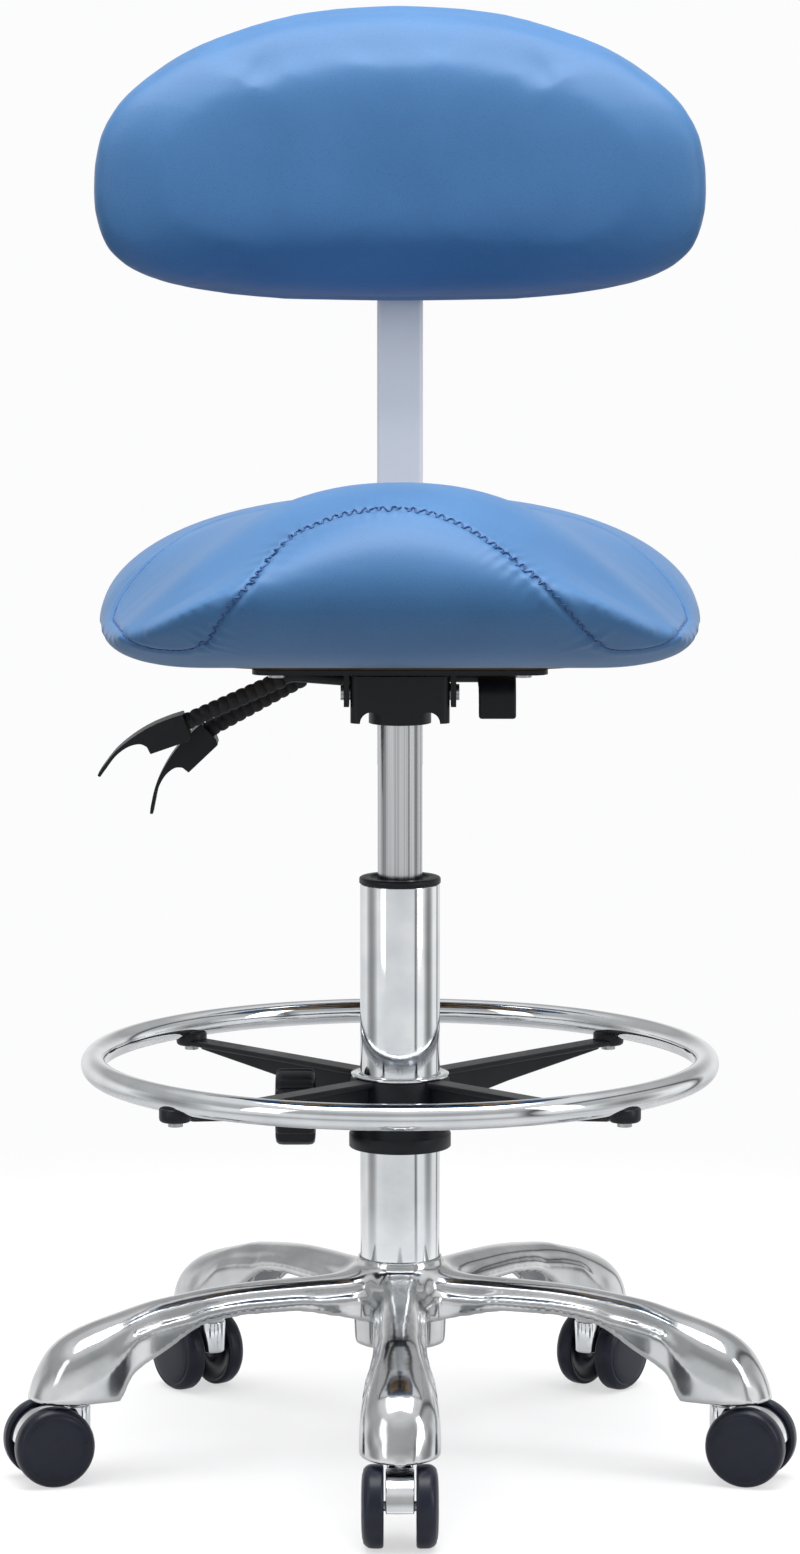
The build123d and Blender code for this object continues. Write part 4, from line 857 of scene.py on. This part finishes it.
def grained_vinyl():
    """Vinyl upholstery with an embossed leather grain: a soft satin gloss, broken up by shallow pebbles with
    painted shade in the valleys between them.

    The real pebbles are about half a millimetre, drawn here at twice that so that they show."""
    material, where = material_named("grained blue vinyl")
    cloud = add(material, "ShaderNodeTexNoise", Vector=(where, "Object"), Scale=1 / (60 * MM), Detail=4.0)
    tone = add(material, "ShaderNodeValToRGB", stops=[(0.3, VINYL_DEEP), (0.7, VINYL)], Fac=(cloud, "Fac"))
    pebble = add(material, "ShaderNodeTexVoronoi", {"feature": "DISTANCE_TO_EDGE"}, Vector=(where, "Object"),
                 Scale=1 / VINYL_GRAIN)
    # Painted shade: the colour is darkened in the valleys between the pebbles, and the same valleys give the
    # bump its height.
    valley_height_and_painted_shade = add(material, "ShaderNodeValToRGB", stops=[(0.0, 0.82), (0.14, 1.0)], Fac=(pebble, "Distance"))
    shade = add(material, "ShaderNodeMix", {"data_type": "RGBA", "blend_type": "MULTIPLY"}, _0=1.0,
                _6=(tone, "Color"), _7=(valley_height_and_painted_shade, "Color"))
    gloss = add(material, "ShaderNodeMapRange", Value=(cloud, "Fac"), To_Min=0.46, To_Max=0.58)
    crease = add(material, "ShaderNodeTexNoise", Vector=(where, "Object"), Scale=1 / (4 * MM), Detail=3.0)
    height = add(material, "ShaderNodeMath", {"operation": "MULTIPLY_ADD"}, _0=(valley_height_and_painted_shade, "Color"), _1=0.5,
                 _2=(crease, "Fac"))
    bump = add(material, "ShaderNodeBump", Height=(height, 0), Strength=0.22, Distance=0.18 * MM)
    return surfaced(material, Base_Color=(shade, 2), Roughness=(gloss, "Result"), Normal=(bump, "Normal"),
                    IOR=1.5, Sheen_Weight=0.15, Sheen_Roughness=0.45)


def sewing_thread():
    """Bonded polyester thread, a shade darker than the vinyl, with the twist of its plies."""
    material, where = material_named("bonded blue thread")
    ply = add(material, "ShaderNodeTexWave", {"bands_direction": "DIAGONAL"}, Vector=(where, "Object"),
              Scale=1 / (3 * MM), Distortion=1.0)
    tone = add(material, "ShaderNodeValToRGB", stops=[(0.2, "#23497F"), (0.8, "#3A69A5")], Fac=(ply, "Fac"))
    return surfaced(material, Base_Color=(tone, "Color"), Roughness=0.55)


def birch_ply():
    """Birch plywood, sanded and raw: pale long grain with darker early-wood lines."""
    material, where = material_named("raw birch plywood")
    stretched = add(material, "ShaderNodeMapping", Vector=(where, "Object"),
                    Scale=(1 / (90 * MM), 1 / (4 * MM), 1 / (5 * MM)))
    grain = add(material, "ShaderNodeTexNoise", Vector=(stretched, 0), Scale=1.0, Detail=6.0, Distortion=0.6)
    tone = add(material, "ShaderNodeValToRGB", stops=[(0.3, "#A98556"), (0.55, "#C9A87A"), (0.75, "#D9BE94")],
               Fac=(grain, "Fac"))
    bump = add(material, "ShaderNodeBump", Height=(grain, "Fac"), Strength=0.2, Distance=0.2 * MM)
    return surfaced(material, Base_Color=(tone, "Color"), Normal=(bump, "Normal"), Roughness=0.7)


vinyl = grained_vinyl()
blue_thread = sewing_thread()
plywood = birch_ply()

ends = 90 * (1 - np.cos(np.linspace(0, math.pi, 73)))
seat = loft("saddle_seat", [seat_ring(y) for y in -185 + 2 * ends])
modify(seat, "REMESH", mode="VOXEL", voxel_size=COVER_VOXEL, use_smooth_shade=True)
modify(seat, "SMOOTH", factor=0.5, iterations=8)
rough_skin = skin_of(seat)
bell = along(seen_from_front(rough_skin, smooth_outline(BELL_SEAM), -150), 2 * MM)
fronts = [[(side * x, z) for x, z in smooth_outline(FRONT_SEAM)] for side in (-1, 1)]
fronts = [along(seen_from_front(rough_skin, front, -120), 2 * MM) for front in fronts]
half_rim = seen_from_front(rough_skin, smooth_outline(RIM_SEAM), 0)
half_rim += [rough_skin.ray_cast(Vector((x * MM, y * MM, 0.7)), Vector((0, 0, -1)))[0]
             for x, y in smooth_outline(RIM_OVER)]
rim = [Vector((-p.x, p.y, p.z)) for p in half_rim] + half_rim[::-1]
rim = along([fronts[0][0]] + rim + [fronts[1][0]], 2 * MM)
seam_tree = KDTree(len(bell) + len(rim) + sum(len(f) for f in fronts))
for i, dot in enumerate(np.concatenate([bell, rim] + fronts)):
    seam_tree.insert(dot, i)
seam_tree.balance()
stuffed(seat, lambda p: p.z < STAPLE_Z or seam_tree.find(p)[2] < SEAM_HOLD, SEAT_SWELL)
skin = skin_of(seat)


def onto(skin, line):
    """The line's points, moved to the nearest point of the skin."""
    return [tuple(skin.find_nearest(Vector(p))[0]) for p in line]


bell, rim = onto(skin, bell), onto(skin, rim)
fronts = [onto(skin, f) for f in fronts]
sew(seat, [bell], 1.9 * MM, 1.3 * MM, pucker=1.1 * MM)
sew(seat, [rim] + fronts, 1.5 * MM, 1.0 * MM)
place(seat, "seat", "blue_vinyl", vinyl, "seat_cover", "seat_foam")
skin = skin_of(seat)
upper = [Vector(p) + Vector((0, 0, 2.6 * MM)) for p in bell]
sewn = thread("seat_stitching", stitches(skin, upper, STITCH, 0.2 * MM, swing=1.7 * MM), 0.55 * MM)
place(sewn, "seat", "blue_vinyl", blue_thread)
cords = thread("seat_seams", [onto(skin, line) for line in [rim] + fronts], 0.6 * MM)
place(cords, "seat", "blue_vinyl", blue_thread)
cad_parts["seat_pan"].data.materials[0] = plywood

# ------------------------------------------------------------------ backrest
# A curved plywood board carries moulded foam in a vinyl cover, drawn round the edge and stapled behind.
# A moulded shell hides the staples.  The board is bolted to a plate that is welded to a flat steel bar.

PAD_HALF = [(720, 0), (721.5, 70), (724, 100), (728, 128), (733, 150), (740, 168), (750, 182), (762, 190),
            (780, 194.5), (797, 195), (815, 193.5), (832, 189), (850, 178), (866, 160), (882, 136),
            (893, 108), (902, 80), (908, 48), (911, 0)]
PAD_SPINE = (6, 806)                # the pad is thickest along a line of this half length, at this height
PAD_FRONT, PAD_REAR = 125, 183      # depth of the pad on its middle line
PAD_BEND = 470                      # radius of the pad seen from above
PAD_CROWN = 36                      # how far the front falls back from the spine to the edge
PAD_ROUND = 11                      # rounding of its rear edge
PAD_FULL = 3.4                      # how flat the front is before it falls to the edge
PAD_VOXEL = 3.8 * MM
PAD_HELD = 14 * MM                  # depth of cover that the board holds, from the rear
PAD_SWELL = 4.0 * MM


def pad_outline(steps=220):
    """The half-moon from the front, evenly spaced, as (x, z) points."""
    right = smooth_outline([(x, z) for z, x in PAD_HALF])
    loop = right + [(-x, z) for x, z in right[-2:0:-1]]
    even = along([(x, 0, z) for x, z in loop + loop[:1]], 1.0)
    return even[np.linspace(0, len(even) - 1, steps + 1).astype(int)[:-1]][:, [0, 2]]


def bent_pad_point(x, y, z):
    """Wraps the pad round the sitter's back."""
    return Vector((x, y - (PAD_BEND - math.sqrt(PAD_BEND ** 2 - x * x)), z)) * MM


def pad_rings():
    """Rings from the spine of the front, over the crowned face and the edge, to the middle of the back."""
    edge = pad_outline()
    spine = np.stack([np.clip(edge[:, 0], -PAD_SPINE[0], PAD_SPINE[0]), np.full(len(edge), PAD_SPINE[1])],
                     axis=1)
    rings = []
    for a in np.linspace(0.03, math.pi / 2, 40):
        share = math.sin(a) ** 0.9
        deep = PAD_FRONT + PAD_CROWN * (1 - max(0.0, 1 - share ** PAD_FULL) ** 0.5)
        rings.append([bent_pad_point(x, deep, z) for x, z in spine + (edge - spine) * share])
    for a in np.linspace(0, math.pi / 2, 9)[1:]:
        deep = PAD_REAR - PAD_ROUND + PAD_ROUND * math.sin(a)
        share = 1 - 0.11 * (1 - math.cos(a))
        rings.append([bent_pad_point(x, deep, z) for x, z in spine + (edge - spine) * share])
    for share in (0.75, 0.5, 0.25, 0.03):
        rings.append([bent_pad_point(x, PAD_REAR, z) for x, z in spine + (edge - spine) * share])
    return rings


pad = loft("back_pad", pad_rings())
modify(pad, "REMESH", mode="VOXEL", voxel_size=PAD_VOXEL, use_smooth_shade=True)
modify(pad, "SMOOTH", factor=0.5, iterations=8)
bend = PAD_BEND * MM
stuffed(pad, lambda p: p.y > PAD_REAR * MM - (bend - math.sqrt(bend ** 2 - p.x ** 2)) - PAD_HELD, PAD_SWELL)
place(pad, "backrest", "blue_vinyl", vinyl, "back_cover", "back_foam")
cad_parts["back_board"].data.materials[0] = plywood
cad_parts["back_shell"].data.materials[0] = black_nylon


def silver_powder():
    """Silver polyester powder on steel: fine aluminium flake under a satin skin.

    The real flake is a few hundredths of a millimetre, drawn here at 0.6 mm so that it shows."""
    material, where = material_named("silver powder coat")
    flake = add(material, "ShaderNodeTexNoise", Vector=(where, "Object"), Scale=1 / (0.6 * MM), Detail=2.0)
    tone = add(material, "ShaderNodeValToRGB", stops=[(0.3, "#F0F1F4"), (0.7, "#FAFAFC")], Fac=(flake, "Fac"))
    bump = add(material, "ShaderNodeBump", Height=(flake, "Fac"), Strength=0.1, Distance=0.1 * MM)
    return surfaced(material, Base_Color=(tone, "Color"), Normal=(bump, "Normal"), Metallic=0.1,
                    Roughness=0.36)


silver = silver_powder()
for part in ("back_bar", "back_plate"):
    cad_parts[part].data.materials[0] = silver
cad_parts["back_arm"].data.materials[0] = black_coat
KNOB_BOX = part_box("back_knob")
height_knob = star_knob(21 * MM, KNOB_BOX[1].y - KNOB_BOX[0].y, 8)
turned(height_knob, Matrix.Translation((0, KNOB_BOX[0].y, (KNOB_BOX[0].z + KNOB_BOX[1].z) / 2)),
       Matrix.Rotation(math.radians(-90), 4, "X"))
height_knob.name = "back_height_knob"
place(height_knob, "back_knob", "black_plastic", black_nylon, "back_knob")

# ------------------------------------------------------------------ studio
# A pale floor that fades into a white backdrop, large soft lights, and a long lens at chest height.  The
# sky that the metal mirrors has dark bands, as the black flags of a product studio give, and the sky that
# lights the matt surfaces is a plain gradient.

floor = mesh_piece("floor", [(-4, -4, 0), (4, -4, 0), (4, 4, 0), (-4, 4, 0)], [(0, 1, 2, 3)])
paper, floor_way = material_named("white paper")
sheet = add(paper, "ShaderNodeBsdfPrincipled", Base_Color=linear("#FBFBFC"), Roughness=0.9,
            Emission_Color=linear("#FFFFFF"), Emission_Strength=0.16)
spread = add(paper, "ShaderNodeVectorMath", {"operation": "LENGTH"}, _0=(floor_way, "Object"))
fade = add(paper, "ShaderNodeMapRange", {"interpolation_type": "SMOOTHSTEP"}, Value=(spread, "Value"),
           From_Min=0.28, From_Max=1.1, To_Min=0.5)
gone = add(paper, "ShaderNodeBsdfTransparent")
mixed = add(paper, "ShaderNodeMixShader", _0=(fade, "Result"), _1=(sheet, 0), _2=(gone, 0))
add(paper, "ShaderNodeOutputMaterial", Surface=(mixed, 0))
floor.data.materials.append(paper)


def soft_light(name, place_at, aim, size, watts):
    """A soft box at a place, turned to what it lights."""
    light = bpy.data.lights.new(name, "AREA")
    light.shape = "RECTANGLE"
    light.size, light.size_y = size
    light.energy = watts
    made = bpy.data.objects.new(name, light)
    made.location = place_at
    made.rotation_euler = (Vector(aim) - Vector(place_at)).to_track_quat("-Z", "Y").to_euler()
    bpy.context.scene.collection.objects.link(made)
    return made


soft_light("top light", (0, -0.35, 2.6), (0, 0, 0.5), (2.4, 1.4), 62)
soft_light("left light", (-2.2, -1.9, 1.5), (0, 0, 0.6), (0.8, 2.0), 8)
soft_light("right light", (2.4, -1.4, 1.5), (0, 0, 0.6), (0.7, 2.0), 18)

world = bpy.data.worlds.new("studio")
bpy.context.scene.world = world
world.use_nodes = True
world.node_tree.nodes.clear()
sky_way = add(world, "ShaderNodeTexCoord")
parts = add(world, "ShaderNodeSeparateXYZ", Vector=(sky_way, "Generated"))
side = add(world, "ShaderNodeMath", {"operation": "MULTIPLY_ADD"}, _0=(parts, "X"), _1=0.5, _2=0.5)
bands = add(world, "ShaderNodeValToRGB", Fac=(side, 0), stops=[
    (0.0, 0.3), (0.04, 0.9), (0.16, 0.82), (0.5, 0.8), (0.82, 0.85), (0.86, 0.12), (0.9, 1.0), (0.97, 0.95),
    (1.0, 0.25)])
high = add(world, "ShaderNodeMath", {"operation": "MULTIPLY_ADD"}, _0=(parts, "Z"), _1=0.5, _2=0.5)
tall = add(world, "ShaderNodeValToRGB", Fac=(high, 0), stops=[
    (0.0, 0.2), (0.3, 0.3), (0.4, 0.85), (0.5, 1.0), (0.57, 0.95), (0.68, 0.5), (0.82, 0.6), (0.9, 1.0)])
banded = add(world, "ShaderNodeMix", {"data_type": "RGBA", "blend_type": "MULTIPLY"}, _0=1.0,
             _6=(bands, "Color"), _7=(tall, "Color"))
mirrored_sky = add(world, "ShaderNodeBackground", Color=(banded, 2), Strength=1.12)
gentle = add(world, "ShaderNodeValToRGB", Fac=(high, 0), stops=[
    (0.0, 0.1), (0.4, 0.16), (0.55, 0.42), (0.85, 0.85), (1.0, 0.9)])
room_sky = add(world, "ShaderNodeBackground", Color=(gentle, "Color"), Strength=0.88)
plain_sky = add(world, "ShaderNodeBackground", Color=linear("#FCFCFD"), Strength=1.0)
ray = add(world, "ShaderNodeLightPath")
lit = add(world, "ShaderNodeMixShader", _0=(ray, "Is Diffuse Ray"), _1=(mirrored_sky, 0), _2=(room_sky, 0))
sky = add(world, "ShaderNodeMixShader", _0=(ray, "Is Camera Ray"), _1=(lit, 0), _2=(plain_sky, 0))
add(world, "ShaderNodeOutputWorld", Surface=(sky, 0))

lens = bpy.data.cameras.new("lens")
lens.lens = 131.7
lens.sensor_width = 36
lens.clip_end = 100
camera = bpy.data.objects.new("camera", lens)
camera.location = (0, -3.51815, 0.876103)
camera.rotation_euler = (math.radians(82.80044), 0, 0)
bpy.context.scene.collection.objects.link(camera)
bpy.context.scene.camera = camera
bpy.context.scene.view_settings.view_transform = "Standard"
